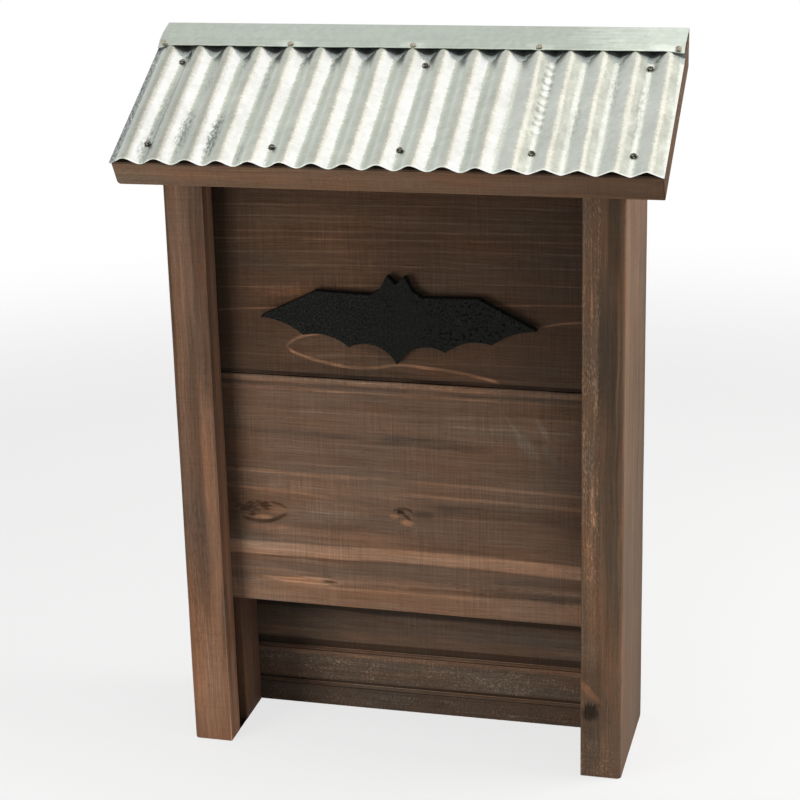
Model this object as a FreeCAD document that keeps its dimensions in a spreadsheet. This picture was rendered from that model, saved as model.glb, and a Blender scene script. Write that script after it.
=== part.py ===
"""Cedar bat box with a corrugated metal roof, as separate boards, sheets and fasteners.

Millimetres, +Z up, +Y from the open landing side to the wall, +X to the right as seen from the front.
The pieces are laid out from the front bottom edge of the side boards, and each finished piece is then
moved by its Placement, so that the origin is at the bottom centre of the whole box.
The roof pieces are laid out flat, as they lie on the roof board, and their Placement tilts them.
"""
import FreeCAD, Part
import math
import os
import Sketcher

VECTOR = FreeCAD.Vector
X_AXIS = VECTOR(1, 0, 0)
Y_AXIS = VECTOR(0, 1, 0)
Z_AXIS = VECTOR(0, 0, 1)

SIZES = [
    ("body_width", 276.0, "outer width over the two side boards"),
    ("side_thickness", 25.0, "thickness of a side board"),
    ("side_depth", 90.6, "front to back size of a side board"),
    ("side_front_height", 371.5, "height of a side board at its front edge"),
    ("side_edge_radius", 3.0, "rounding of a side board's outer upright edges"),
    ("roof_slope", 30.0, "slope of the roof in degrees"),
    ("front_lip", 16.5, "wood of the side board in front of the front groove"),
    ("groove_depth", 6.4, "depth of the grooves that hold the boards"),
    ("board_thickness", 14.6, "thickness of the front and back boards"),
    ("fit_gap", 0.3, "play of a board in its groove and under the roof"),
    ("chamber_depth", 31.5, "clear depth of the roosting space"),
    ("entry_height", 92.0, "bottom edge of the lower front board"),
    ("lower_board_height", 151.3, "height of the lower front board"),
    ("back_board_height", 151.0, "height of the two lower back boards"),
    ("wide_grip_bottom", 39.0, "lower edge of the wide grip groove"),
    ("wide_grip_width", 9.5, "width of the wide grip groove"),
    ("narrow_grip_bottom", 13.6, "lower edge of the narrow grip groove"),
    ("narrow_grip_width", 4.9, "width of the narrow grip groove"),
    ("grip_depth", 5.5, "depth of the grip grooves"),
    ("roof_side_overhang", 23.0, "roof board past the outer face of a side board"),
    ("roof_eave", 12.8, "roof board past the side boards' front, along the slope"),
    ("roof_board_thickness", 17.5, "thickness of the roof board"),
    ("roof_setback", 1.0, "plumb rear end of the roof board in front of the wall plane"),
    ("roof_corner_radius", 3.0, "rounding of the roof board's lower left edge"),
    ("wave_count", 17, "waves across the corrugated sheet"),
    ("wave_height", 4.0, "height of the waves, without the metal's thickness"),
    ("sheet_thickness", 0.5, "thickness of the sheet and the flashing"),
    ("sheet_side_lip", 0.5, "corrugated sheet past the roof board's ends"),
    ("sheet_front_lip", 1.5, "corrugated sheet past the roof board's front edge"),
    ("sheet_gap", 0.1, "play between the metal and what it lies on"),
    ("flashing_start", 102.0, "front edge of the flashing from the roof board's front edge"),
    ("flashing_lap", 6.0, "corrugated sheet under the flashing's front edge"),
    ("flashing_rear_lift", 1.8, "flashing above the roof board's top rear edge"),
    ("flashing_drop", 12.0, "height of the flashing's folded rear strip"),
    ("flashing_bend", 0.6, "inner radius of the flashing's fold"),
    ("bat_span", 172.0, "wing span of the bat figure"),
    ("bat_height", 55.0, "height of the bat figure"),
    ("bat_thickness", 5.0, "thickness of the bat figure"),
    ("bat_rise", 12.4, "bat's tail above the joint of the front boards"),
    ("nail_radius", 0.9, "shank radius of the nails"),
    ("nail_head_radius", 1.8, "head radius of the nails"),
    ("nail_head_height", 0.8, "head height of the nails"),
    ("sheet_nail_length", 16.0, "shank length of the corrugated sheet's nails"),
    ("sheet_nail_lift", 0.3, "nail head above the trough of the corrugated sheet"),
    ("lower_nail_row", 15.5, "lower nail row from the roof board's front edge"),
    ("upper_nail_row", 91.0, "upper nail row from the roof board's front edge"),
    ("nail_wave_step", 4, "waves from one lower sheet nail to the next"),
    ("flashing_nail_length", 19.0, "shank length of the flashing's nails"),
    ("flashing_nail_inset", 3.0, "flashing nails from the flashing's front edge"),
    ("flashing_end_inset", 3.5, "end nails of the flashing from its ends"),
    ("back_nail_length", 25.0, "shank length of the back boards' nails"),
    ("board_nail_margin", 25.0, "fasteners of a board from its lower and upper edge"),
    ("brad_radius", 0.7, "shank radius of the brads"),
    ("brad_head_radius", 1.2, "head radius of the brads"),
    ("brad_head_height", 0.8, "head height of the brads"),
    ("brad_set", 2.0, "seat of a brad's head below the wood's face"),
    ("front_brad_length", 25.0, "shank length of the front boards' brads"),
    ("front_brad_angle", 35.0, "slant of the front boards' brads in degrees"),
    ("front_brad_inset", 8.0, "front boards' brads from the side board's inner face"),
    ("bat_brad_length", 15.0, "shank length of the bat figure's brads"),
    ("bat_brad_spacing", 50.0, "distance between the bat figure's brads"),
    ("screw_radius", 2.1, "shank radius of the roof screws"),
    ("screw_head_radius", 4.0, "head radius of the roof screws"),
    ("screw_head_depth", 2.6, "depth of the roof screws' countersunk heads"),
    ("screw_length", 45.0, "length of the roof screws"),
    ("screw_margin", 24.0, "roof screws from the side boards' front and back"),
    ("strap_height", 28.0, "height of the hanging strap, over the joint of the two upper back boards"),
    ("strap_thickness", 1.5, "thickness of the hanging strap"),
    ("strap_inset", 5.0, "ends of the hanging strap from the side boards' outer faces"),
    ("strap_screw_inset", 5.0, "outer screws from the ends of the strap"),
    ("strap_screw_spacing", 9.0, "distance between the two screws at each end of the strap"),
    ("strap_screw_radius", 1.4, "shank radius of the strap's screws"),
    ("strap_screw_head_radius", 2.6, "head radius of the strap's screws"),
    ("strap_screw_head_depth", 1.1, "depth of the strap screws' countersunk heads"),
    ("strap_screw_length", 12.0, "length of the strap's screws"),
    ("keyhole_spacing", 100.0, "distance between the two keyholes in the strap"),
    ("keyhole_radius", 4.5, "radius of a keyhole's round entry"),
    ("keyhole_slot_radius", 2.2, "half of the width of a keyhole's slot"),
    ("keyhole_drop", 5.0, "a keyhole's entry below the strap's middle"),
    ("keyhole_travel", 12.0, "height from the entry to the slot's upper end"),
    ("hole_gap", 0.1, "radial play of every fastener in its hole"),
]

WORKED = [
    ("slope_sine", "sin(sizes.roof_slope * 1deg)"),
    ("slope_cosine", "cos(sizes.roof_slope * 1deg)"),
    ("slope_rise", "tan(sizes.roof_slope * 1deg)"),
    ("inner_half", "sizes.body_width / 2 - sizes.side_thickness"),
    ("outer_half", "sizes.body_width / 2"),
    ("side_middle", "(sizes.body_width - sizes.side_thickness) / 2"),
    ("board_length", "2 * (inner_half + sizes.groove_depth - sizes.fit_gap)"),
    ("front_inner_face", "sizes.front_lip + sizes.board_thickness"),
    ("front_groove_end", "front_inner_face + sizes.fit_gap"),
    ("back_face", "front_inner_face + sizes.chamber_depth"),
    ("back_groove_start", "back_face - sizes.fit_gap"),
    ("back_rear_face", "back_face + sizes.board_thickness"),
    ("seam_height", "sizes.entry_height + sizes.lower_board_height"),
    ("strap_middle", "2 * sizes.back_board_height"),
    ("strap_half", "outer_half - sizes.strap_inset"),
    ("roof_width", "sizes.body_width + 2 * sizes.roof_side_overhang"),
    ("roof_rear", "sizes.side_depth - sizes.roof_setback"),
    ("roof_rear_low", "roof_rear / slope_cosine"),
    ("roof_rear_high", "(roof_rear + sizes.roof_board_thickness * slope_sine) / slope_cosine"),
    ("sheet_width", "roof_width + 2 * sizes.sheet_side_lip"),
    ("wave_pitch", "sheet_width / sizes.wave_count"),
    ("sheet_base", "sizes.roof_board_thickness + sizes.sheet_gap"),
    ("sheet_crest", "sheet_base + sizes.wave_height + sizes.sheet_thickness"),
    ("sheet_front", "0 - sizes.roof_eave - sizes.sheet_front_lip"),
    ("flashing_base", "sheet_crest + sizes.sheet_gap"),
    ("flashing_top", "flashing_base + sizes.sheet_thickness"),
    ("flashing_front", "sizes.flashing_start - sizes.roof_eave"),
    ("sheet_rear", "flashing_front + sizes.flashing_lap"),
    ("flashing_knee", "sheet_rear + sizes.sheet_gap"),
    ("flashing_fold", "sizes.roof_board_thickness + sizes.flashing_rear_lift"),
    ("flashing_fold_top", "flashing_fold + sizes.sheet_thickness"),
    ("flashing_inner", "roof_rear + sizes.sheet_gap"),
    ("flashing_outer", "flashing_inner + sizes.sheet_thickness"),
    ("flashing_inner_bend", "(flashing_inner + flashing_fold * slope_sine) / slope_cosine"),
    ("flashing_outer_bend", "(flashing_outer + flashing_fold_top * slope_sine) / slope_cosine"),
    ("front_reach", "sheet_front * slope_cosine - sheet_crest * slope_sine"),
    ("depth_centre", "(front_reach + sizes.side_depth) / 2"),
]

# Half of the bat's outline as shares of half its span and of its height, from the tail to the ears.
# A lower stretch is an arc through its middle point, an upper one is straight.
BAT_TAIL_SHARE = (0.0, 0.0)
BAT_SCALLOP_SHARES = [
    ((0.163, 0.211), (0.343, 0.172)),
    ((0.51, 0.296), (0.672, 0.283)),
    ((0.853, 0.432), (1.0, 0.459)),
]
BAT_WING_SHARES = [(0.663, 0.722), (0.581, 0.791), (0.186, 0.773), (0.116, 0.84), (0.064, 1.0), (0.0, 0.909)]

doc = FreeCAD.newDocument("bat_box")


def fill_sheets():
    """Write the driving sizes as plain numbers and the worked sizes as formulas on them."""
    sizes = doc.addObject("Spreadsheet::Sheet", "sizes")
    for row, (alias, value, words) in enumerate(SIZES, start=1):
        sizes.set("A%d" % row, words)
        sizes.set("B%d" % row, str(value))
        sizes.setAlias("B%d" % row, alias)
    doc.recompute()
    worked = doc.addObject("Spreadsheet::Sheet", "worked")
    for row, (alias, formula) in enumerate(WORKED, start=1):
        worked.set("A%d" % row, "=" + formula)
        worked.setAlias("A%d" % row, alias)
    doc.recompute()
    return sizes, worked


sizes, worked = fill_sheets()


def value_of(alias):
    """Return a named size of either sheet as a number."""
    sheet = sizes if sizes.getCellFromAlias(alias) else worked
    return float(sheet.get(alias))


def worth(expression):
    """Return what an expression on the two sheets comes to, as a number."""
    return float(worked.evalExpression(expression))


def bind(item, **expressions):
    """Bind properties of an object to sizes; a double underscore stands for a dot."""
    for name, expression in expressions.items():
        item.setExpression(name.replace("__", "."), expression)


def origin_plane(body, role):
    """Return a body's own origin plane by its role."""
    return next(item for item in body.Origin.OriginFeatures if item.Role == role)


def polygon_sketch(body, name, role, corners, offset="0"):
    """Add a closed sketch whose corners are pairs of expressions, on one of the body's planes."""
    sketch = body.newObject("Sketcher::SketchObject", name)
    sketch.AttachmentSupport = [(origin_plane(body, role), "")]
    sketch.MapMode = "FlatFace"
    bind(sketch, AttachmentOffset__Base__z=offset)
    points = [VECTOR(worth(across), worth(along), 0) for across, along in corners]
    count = len(points)
    for index in range(count):
        line = Part.LineSegment(points[index], points[(index + 1) % count])
        sketch.addGeometry(line, False)
    for index in range(count):
        follower = (index + 1) % count
        sketch.addConstraint(Sketcher.Constraint("Coincident", index, 2, follower, 1))
    for index, (across, along) in enumerate(corners):
        for kind, expression, size in (("DistanceX", across, points[index].x),
                                       ("DistanceY", along, points[index].y)):
            label = "corner%d_%s" % (index, kind[-1].lower())
            number = sketch.addConstraint(Sketcher.Constraint(kind, -1, 1, index, 1, size))
            sketch.renameConstraint(number, label)
            sketch.setExpression("Constraints." + label, expression)
    return sketch


def rectangle(left, right, low, high):
    """Return the four corners of an upright rectangle as expressions."""
    return [(left, low), (right, low), (right, high), (left, high)]


def pad(body, sketch, length, middle=False):
    """Pad a sketch, to one side or evenly about its plane."""
    feature = body.newObject("PartDesign::Pad", sketch.Name + "_pad")
    feature.Profile = sketch
    feature.SideType = "Symmetric" if middle else "One side"
    bind(feature, Length=length)
    doc.recompute()
    return feature


def pocket(body, sketch, length, reverse=False):
    """Pocket a sketch symmetrically or from its plane, and make sure that it cuts."""
    before = body.Tip.Shape.Volume
    feature = body.newObject("PartDesign::Pocket", sketch.Name + "_pocket")
    feature.Profile = sketch
    feature.Reversed = reverse
    bind(feature, Length=length)
    doc.recompute()
    if not feature.Shape.Volume < before:
        raise ValueError(feature.Name + " cuts nothing")
    return feature


def round_edges(body, base, is_wanted, radius):
    """Fillet the straight edges of a feature that the test picks."""
    names = ["Edge%d" % number for number, edge in enumerate(base.Shape.Edges, start=1)
             if is_wanted(edge.CenterOfMass, edge)]
    fillet = body.newObject("PartDesign::Fillet", body.Name + "_rounding")
    fillet.Base = (base, names)
    bind(fillet, Radius=radius)
    doc.recompute()
    return fillet


def new_body(name):
    """Start a body for a board or sheet before its holes are bored."""
    return doc.addObject("PartDesign::Body", name + "_blank")


def stand(item):
    """Place a finished piece that was laid out upright."""
    bind(item, Placement__Base__y="0 - worked.depth_centre")


def tilt(item):
    """Place a finished piece that was laid out flat on the roof board."""
    item.Placement = FreeCAD.Placement(VECTOR(0, 0, 0), FreeCAD.Rotation(X_AXIS, value_of("roof_slope")))
    bind(item, Placement__Base__y="0 - worked.depth_centre", Placement__Base__z="sizes.side_front_height")


def bored(label, blank, holes, place):
    """Cut the fastener holes out of a blank and place the result."""
    cut = doc.addObject("Part::Cut", label)
    cut.Base = blank
    cut.Tool = holes
    place(cut)
    return cut


def group(label, shapes, place):
    """Make one piece of the document from several separate solids."""
    item = doc.addObject("Part::Feature", label)
    item.Shape = Part.makeCompound(shapes)
    place(item)
    return item


def turned(points):
    """Turn a closed outline of radius and height pairs about the upright axis."""
    outline = Part.makePolygon([VECTOR(radius, 0, height) for radius, height in points + points[:1]])
    return Part.Face(outline).revolve(VECTOR(0, 0, 0), Z_AXIS, 360)


def nail(kind, length, play=0.0, rise=None):
    """Make a nail that points down with its head's seat at zero, or the hole for it."""
    shank = value_of(kind + "_radius") + play
    head = value_of(kind + "_head_radius") + play
    top = value_of(kind + "_head_height") if rise is None else rise
    end = -length - play
    return turned([(0, end), (shank, end + 2 * shank), (shank, 0), (head, 0), (head, top), (0, top)])


def screw(kind, length, play=0.0):
    """Make a countersunk screw that points down with its head's top at zero, or the hole for it."""
    shank = value_of(kind + "_radius") + play
    head = value_of(kind + "_head_radius") + play
    seat = -value_of(kind + "_head_depth")
    end = -length - play
    return turned([(0, end), (shank, end + 2 * shank), (shank, seat), (head, 0), (0, 0)])


def aimed(shape, position, direction):
    """Copy a fastener to a place and point it in a direction."""
    copy = shape.copy()
    copy.Placement = FreeCAD.Placement(position, FreeCAD.Rotation(-Z_AXIS, direction))
    return copy


def both_sides(alias):
    """Return a distance to the left and to the right of the middle."""
    return -value_of(alias), value_of(alias)


def front_brads(play=0.0):
    """Slant a brad through each end of both front boards into the side boards' front lips."""
    seat = value_of("brad_set")
    brad = nail("brad", value_of("front_brad_length"), play, 2 * seat if play else None)
    skew = math.radians(value_of("front_brad_angle"))
    margin = value_of("board_nail_margin")
    roof_at_front = value_of("side_front_height") + value_of("front_lip") * value_of("slope_rise")
    heights = [value_of("entry_height") + margin, value_of("seam_height") - margin,
               value_of("seam_height") + margin, roof_at_front - margin]
    placed = []
    for side in (-1, 1):
        aim = VECTOR(side * math.sin(skew), -math.cos(skew), 0)
        across = side * (value_of("inner_half") - value_of("front_brad_inset"))
        for height in heights:
            face = VECTOR(across, value_of("front_inner_face"), height)
            placed.append(aimed(brad, face + aim * seat, aim))
    return placed


def bat_brads(play=0.0):
    """Drive two brads from the roosting space through the upper front board into the bat figure."""
    seat = value_of("brad_set")
    brad = nail("brad", value_of("bat_brad_length"), play, seat if play else None)
    height = value_of("seam_height") + value_of("bat_rise") + value_of("bat_height") / 2
    depth = value_of("front_inner_face") - seat
    spread = value_of("bat_brad_spacing") / 2
    return [aimed(brad, VECTOR(across, depth, height), -Y_AXIS) for across in (-spread, spread)]


def back_nails(play=0.0):
    """Drive nails from the rear through the side boards' rear lips into the ends of the back boards."""
    head = value_of("nail_head_height")
    shape = nail("nail", value_of("back_nail_length"), play, head if play else None)
    margin = value_of("board_nail_margin")
    step = value_of("back_board_height")
    top = value_of("side_front_height") + value_of("back_face") * value_of("slope_rise")
    edges = [0, step, 2 * step, top]
    middle_of_groove = value_of("inner_half") + value_of("groove_depth") / 2
    placed = []
    for low, high in zip(edges[:-1], edges[1:]):
        for height in (low + margin, high - margin):
            for across in (-middle_of_groove, middle_of_groove):
                seat = VECTOR(across, value_of("side_depth") - head, height)
                placed.append(aimed(shape, seat, -Y_AXIS))
    return placed


def strap_screws(play=0.0):
    """Put two countersunk screws in each end of the hanging strap."""
    shape = screw("strap_screw", value_of("strap_screw_length"), play)
    outer = value_of("strap_half") - value_of("strap_screw_inset")
    inner = outer - value_of("strap_screw_spacing")
    return [aimed(shape, VECTOR(across, value_of("side_depth"), value_of("strap_middle")), -Y_AXIS)
            for across in (-outer, -inner, inner, outer)]


def roof_screws(play=0.0):
    """Put two screws through each end of the roof board into the side board under it."""
    shape = screw("screw", value_of("screw_length"), play)
    depths = [value_of("screw_margin"), value_of("side_depth") - value_of("screw_margin")]
    top = value_of("roof_board_thickness")
    return [aimed(shape, VECTOR(across, depth / value_of("slope_cosine"), top), -Z_AXIS)
            for across in both_sides("side_middle") for depth in depths]


def trough_places(step):
    """Return where the sheet's troughs lie, from the first inner one on, a number of waves apart."""
    count = int(value_of("wave_count"))
    left = -value_of("sheet_width") / 2
    numbers = sorted({min(number, count - 1) for number in range(1, count + step - 1, step)})
    return [left + number * value_of("wave_pitch") for number in numbers]


def sheet_nails(row, step, play=0.0):
    """Nail the corrugated sheet down in its troughs, along one row."""
    shape = nail("nail", value_of("sheet_nail_length"), play)
    along = value_of(row) - value_of("roof_eave")
    seat = value_of("sheet_base") + value_of("sheet_thickness") + value_of("sheet_nail_lift")
    return [aimed(shape, VECTOR(across, along, seat), -Z_AXIS) for across in trough_places(step)]


def flashing_nails(play=0.0):
    """Nail the flashing down through the crests under its front edge and at its two ends."""
    shape = nail("nail", value_of("flashing_nail_length"), play)
    along = value_of("flashing_front") + value_of("flashing_nail_inset")
    step = int(value_of("nail_wave_step"))
    left = -value_of("sheet_width") / 2
    end = value_of("roof_width") / 2 - value_of("flashing_end_inset")
    crests = range(step, int(value_of("wave_count")) - 1, step)
    places = [-end] + [left + (crest + 0.5) * value_of("wave_pitch") for crest in crests] + [end]
    return [aimed(shape, VECTOR(across, along, value_of("flashing_top")), -Z_AXIS) for across in places]


def strap_rebate():
    """Make the shallow rebate in both side boards' rear edges that the hanging strap lies in."""
    gap = value_of("hole_gap")
    half = value_of("strap_half") + gap
    height = value_of("strap_height") + 2 * gap
    thickness = value_of("strap_thickness")
    corner = VECTOR(-half, value_of("side_depth") - thickness, value_of("strap_middle") - height / 2)
    return Part.makeBox(2 * half, thickness, height, corner)


def make_side(label, face, outer, holes):
    """Make a side board with a sloped top and two upright grooves in its inner face."""
    body = new_body(label)
    rear_top = "sizes.side_front_height + sizes.side_depth * worked.slope_rise"
    corners = [("0", "0"), ("sizes.side_depth", "0"), ("sizes.side_depth", rear_top),
               ("0", "sizes.side_front_height")]
    left_face = "worked.inner_half" if outer > 0 else "0 - worked.outer_half"
    outline = polygon_sketch(body, label + "_outline", "YZ_Plane", corners, left_face)
    pad(body, outline, "sizes.side_thickness")
    bottom = "%s - (%d) * sizes.fit_gap" % (face, outer)
    deep = "%s + (%d) * sizes.groove_depth" % (face, outer)
    for name, start, end in (("front", "sizes.front_lip", "worked.front_groove_end"),
                             ("back", "worked.back_groove_start", "worked.back_rear_face")):
        groove = polygon_sketch(body, "%s_%s_groove" % (label, name), "XY_Plane",
                                rectangle(bottom, deep, start, end))
        tip = pocket(body, groove, rear_top, reverse=True)
    outside = outer * value_of("outer_half")
    round_edges(body, tip, lambda centre, edge: (
        abs(centre.x - outside) < 1e-6 and abs(edge.BoundBox.XLength + edge.BoundBox.YLength) < 1e-6
    ), "sizes.side_edge_radius")
    return bored(label, body, holes, stand)


def make_board(label, front, low, high, holes, grips=()):
    """Make a front or back board from its side view; a board under the roof has a sloped top."""
    body = new_body(label)
    rear = front + " + sizes.board_thickness"
    if high:
        tops = (high, high)
    else:
        under = "sizes.side_front_height - sizes.fit_gap / worked.slope_cosine + (%s) * worked.slope_rise"
        tops = (under % front, under % rear)
    corners = [(front, low), (rear, low), (rear, tops[1]), (front, tops[0])]
    outline = polygon_sketch(body, label + "_outline", "YZ_Plane", corners)
    pad(body, outline, "worked.board_length", middle=True)
    for name, bottom, width in grips:
        sketch = polygon_sketch(body, name, "XY_Plane", rectangle(
            "0 - worked.board_length / 2", "worked.board_length / 2",
            front, front + " + sizes.grip_depth"), bottom)
        pocket(body, sketch, width, reverse=True)
    return bored(label, body, holes, stand)


def make_roof_board(holes):
    """Make the roof board, square at its front and cut plumb at its rear."""
    body = new_body("roof_board")
    front = "0 - sizes.roof_eave"
    corners = [(front, "0"), ("worked.roof_rear_low", "0"),
               ("worked.roof_rear_high", "sizes.roof_board_thickness"), (front, "sizes.roof_board_thickness")]
    outline = polygon_sketch(body, "roof_board_outline", "YZ_Plane", corners)
    tip = pad(body, outline, "worked.roof_width", middle=True)
    left = -value_of("roof_width") / 2
    round_edges(body, tip, lambda centre, edge: abs(centre.x - left) < 1e-6 and abs(centre.z) < 1e-6,
                "sizes.roof_corner_radius")
    return bored("roof_board", body, holes, tilt)


def wave_chain(offset):
    """Draw the sheet's wave as touching arcs, a distance above or below the middle of the metal."""
    pitch = value_of("wave_pitch")
    height = value_of("wave_height")
    count = int(value_of("wave_count"))
    left = -value_of("sheet_width") / 2
    radius = (pitch ** 2 / 16 + height ** 2 / 4) / height
    turn = math.asin(pitch / 4 / radius)
    middle = value_of("sheet_base") + (height + value_of("sheet_thickness")) / 2
    chain = []
    for number in range(2 * count + 1):
        up = -1 if number % 2 == 0 else 1
        across = left + number * pitch / 2
        centre = middle + up * (height / 2 - radius)
        reach = radius + up * offset
        start = 0 if number == 0 else -turn
        end = 0 if number == 2 * count else turn
        points = [VECTOR(across + reach * math.sin(angle), 0, centre + up * reach * math.cos(angle))
                  for angle in (start, (start + end) / 2, end)]
        chain.append(Part.Arc(*points).toShape())
    return chain


def make_roof_sheet(holes):
    """Make the corrugated sheet by drawing its wave along the slope."""
    half = value_of("sheet_thickness") / 2
    upper = wave_chain(half)
    lower = wave_chain(-half)
    ends = [Part.makeLine(lower[index].valueAt(at(lower[index])), upper[index].valueAt(at(upper[index])))
            for index, at in ((0, lambda edge: edge.FirstParameter), (-1, lambda edge: edge.LastParameter))]
    outline = Part.Wire(Part.__sortEdges__(upper + lower + ends))
    length = value_of("sheet_rear") - value_of("sheet_front")
    blank = doc.addObject("Part::Feature", "roof_sheet_blank")
    blank.Shape = Part.Face(outline).extrude(Y_AXIS * length)
    blank.Placement.Base = Y_AXIS * value_of("sheet_front")
    return bored("roof_sheet", blank, holes, tilt)


def make_flashing(holes):
    """Make the flashing that lies on the sheet's top edge and folds down behind the roof board."""
    body = new_body("top_flashing")
    drop_along = "worked.flashing_outer_bend - sizes.flashing_drop * worked.slope_sine"
    drop_down = "worked.flashing_fold_top - sizes.flashing_drop * worked.slope_cosine"
    inner_along = drop_along + " - sizes.sheet_thickness * worked.slope_cosine"
    inner_down = drop_down + " + sizes.sheet_thickness * worked.slope_sine"
    corners = [("worked.flashing_front", "worked.flashing_base"),
               ("worked.flashing_knee", "worked.flashing_base"),
               ("worked.flashing_inner_bend", "worked.flashing_fold"), (inner_along, inner_down),
               (drop_along, drop_down), ("worked.flashing_outer_bend", "worked.flashing_fold_top"),
               ("worked.flashing_knee", "worked.flashing_top"),
               ("worked.flashing_front", "worked.flashing_top")]
    outline = polygon_sketch(body, "flashing_outline", "YZ_Plane", corners)
    tip = pad(body, outline, "worked.roof_width", middle=True)
    for bend, height, radius in (
            ("flashing_inner_bend", "flashing_fold", "sizes.flashing_bend"),
            ("flashing_outer_bend", "flashing_fold_top", "sizes.flashing_bend + sizes.sheet_thickness")):
        corner = VECTOR(0, value_of(bend), value_of(height))
        tip = round_edges(body, tip, lambda centre, edge: (centre - corner).Length < 1e-6, radius)
    return bored("top_flashing", body, holes, tilt)


def make_bat(holes):
    """Make the flat bat figure that stands on the upper front board."""
    half_span = value_of("bat_span") / 2
    height = value_of("bat_height")

    def point(share, side):
        return VECTOR(side * share[0] * half_span, 0, share[1] * height)

    edges = []
    for side in (-1, 1):
        start = BAT_TAIL_SHARE
        for middle, end in BAT_SCALLOP_SHARES:
            edges.append(Part.Arc(point(start, side), point(middle, side), point(end, side)).toShape())
            start = end
        for end in BAT_WING_SHARES:
            edges.append(Part.makeLine(point(start, side), point(end, side)))
            start = end
    outline = Part.Wire(Part.__sortEdges__(edges))
    thickness = value_of("bat_thickness")
    blank = doc.addObject("Part::Feature", "bat_figure_blank")
    blank.Shape = Part.Face(outline).extrude(Y_AXIS * thickness)
    tail = value_of("seam_height") + value_of("bat_rise")
    blank.Placement.Base = VECTOR(0, value_of("front_lip") - thickness, tail)
    return bored("bat_figure", blank, holes, stand)


def make_strap(holes):
    """Make the steel strap with two keyholes that lies flush in the side boards' rear edges."""
    plate = doc.addObject("Part::Box", "strap_plate")
    bind(plate, Length="2 * worked.strap_half", Width="sizes.strap_thickness", Height="sizes.strap_height",
         Placement__Base__x="0 - worked.strap_half",
         Placement__Base__y="sizes.side_depth - sizes.strap_thickness",
         Placement__Base__z="worked.strap_middle - sizes.strap_height / 2")
    front = "sizes.side_depth - 1.5 * sizes.strap_thickness"
    entry = "worked.strap_middle - sizes.keyhole_drop"
    end = entry + " + sizes.keyhole_travel"
    cutters = []
    for side, middle in (("left", "0 - sizes.keyhole_spacing / 2"), ("right", "sizes.keyhole_spacing / 2")):
        for name, radius, height in (("entry", "sizes.keyhole_radius", entry),
                                     ("end", "sizes.keyhole_slot_radius", end)):
            hole = doc.addObject("Part::Cylinder", "%s_keyhole_%s" % (side, name))
            hole.Placement.Rotation = FreeCAD.Rotation(Z_AXIS, Y_AXIS)
            bind(hole, Radius=radius, Height="2 * sizes.strap_thickness", Placement__Base__x=middle,
                 Placement__Base__y=front, Placement__Base__z=height)
            cutters.append(hole)
        slot = doc.addObject("Part::Box", side + "_keyhole_slot")
        bind(slot, Length="2 * sizes.keyhole_slot_radius", Width="2 * sizes.strap_thickness",
             Height="sizes.keyhole_travel", Placement__Base__x=middle + " - sizes.keyhole_slot_radius",
             Placement__Base__y=front, Placement__Base__z=entry)
        cutters.append(slot)
    keyholes = doc.addObject("Part::MultiFuse", "keyholes")
    keyholes.Shapes = cutters
    blank = doc.addObject("Part::Cut", "strap_blank")
    blank.Base = plate
    blank.Tool = keyholes
    return bored("hanging_strap", blank, holes, stand)


def hole_tool(label, shapes):
    """Keep a set of holes as one tool of the document."""
    tool = doc.addObject("Part::Feature", label)
    tool.Shape = Part.makeCompound(shapes)
    return tool


def slope_frame():
    """Return where the roof's flat layout lies in the upright layout."""
    turn = FreeCAD.Rotation(X_AXIS, value_of("roof_slope"))
    return FreeCAD.Placement(VECTOR(0, 0, value_of("side_front_height")), turn)


def build():
    """Build every piece and return the finished ones."""
    play = value_of("hole_gap")
    step = int(value_of("nail_wave_step"))
    metal_holes = hole_tool("metal_holes", sheet_nails("lower_nail_row", step, play)
                            + sheet_nails("upper_nail_row", 2 * step, play) + flashing_nails(play))
    roof_board_holes = hole_tool("roof_board_holes", metal_holes.Shape.Solids + roof_screws(play))
    screw_holes = Part.makeCompound(roof_screws(play))
    screw_holes.Placement = slope_frame()
    side_holes = hole_tool("side_holes", screw_holes.Solids + front_brads(play) + back_nails(play)
                           + strap_screws(play) + [strap_rebate()])
    front_holes = hole_tool("front_holes", front_brads(play) + bat_brads(play))
    back_holes = hole_tool("back_holes", back_nails(play))
    bat_holes = hole_tool("bat_holes", bat_brads(play))
    strap_holes = hole_tool("strap_holes", strap_screws(play))
    grips = (("wide_grip", "sizes.wide_grip_bottom", "sizes.wide_grip_width"),
             ("narrow_grip", "sizes.narrow_grip_bottom", "sizes.narrow_grip_width"))
    return [
        make_side("left_side", "0 - worked.inner_half", -1, side_holes),
        make_side("right_side", "worked.inner_half", 1, side_holes),
        make_board("front_board_lower", "sizes.front_lip", "sizes.entry_height", "worked.seam_height",
                   front_holes),
        make_board("front_board_upper", "sizes.front_lip", "worked.seam_height", None, front_holes),
        make_board("back_board_lower", "worked.back_face", "0", "sizes.back_board_height", back_holes, grips),
        make_board("back_board_middle", "worked.back_face", "sizes.back_board_height",
                   "2 * sizes.back_board_height", back_holes),
        make_board("back_board_upper", "worked.back_face", "2 * sizes.back_board_height", None, back_holes),
        make_roof_board(roof_board_holes),
        make_roof_sheet(metal_holes),
        make_flashing(metal_holes),
        make_bat(bat_holes),
        make_strap(strap_holes),
        group("sheet_nails_lower", sheet_nails("lower_nail_row", step), tilt),
        group("sheet_nails_upper", sheet_nails("upper_nail_row", 2 * step), tilt),
        group("flashing_nails", flashing_nails(), tilt),
        group("roof_screws", roof_screws(), tilt),
        group("front_board_brads", front_brads(), stand),
        group("bat_figure_brads", bat_brads(), stand),
        group("back_board_nails", back_nails(), stand),
        group("strap_screws", strap_screws(), stand),
    ]


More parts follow.
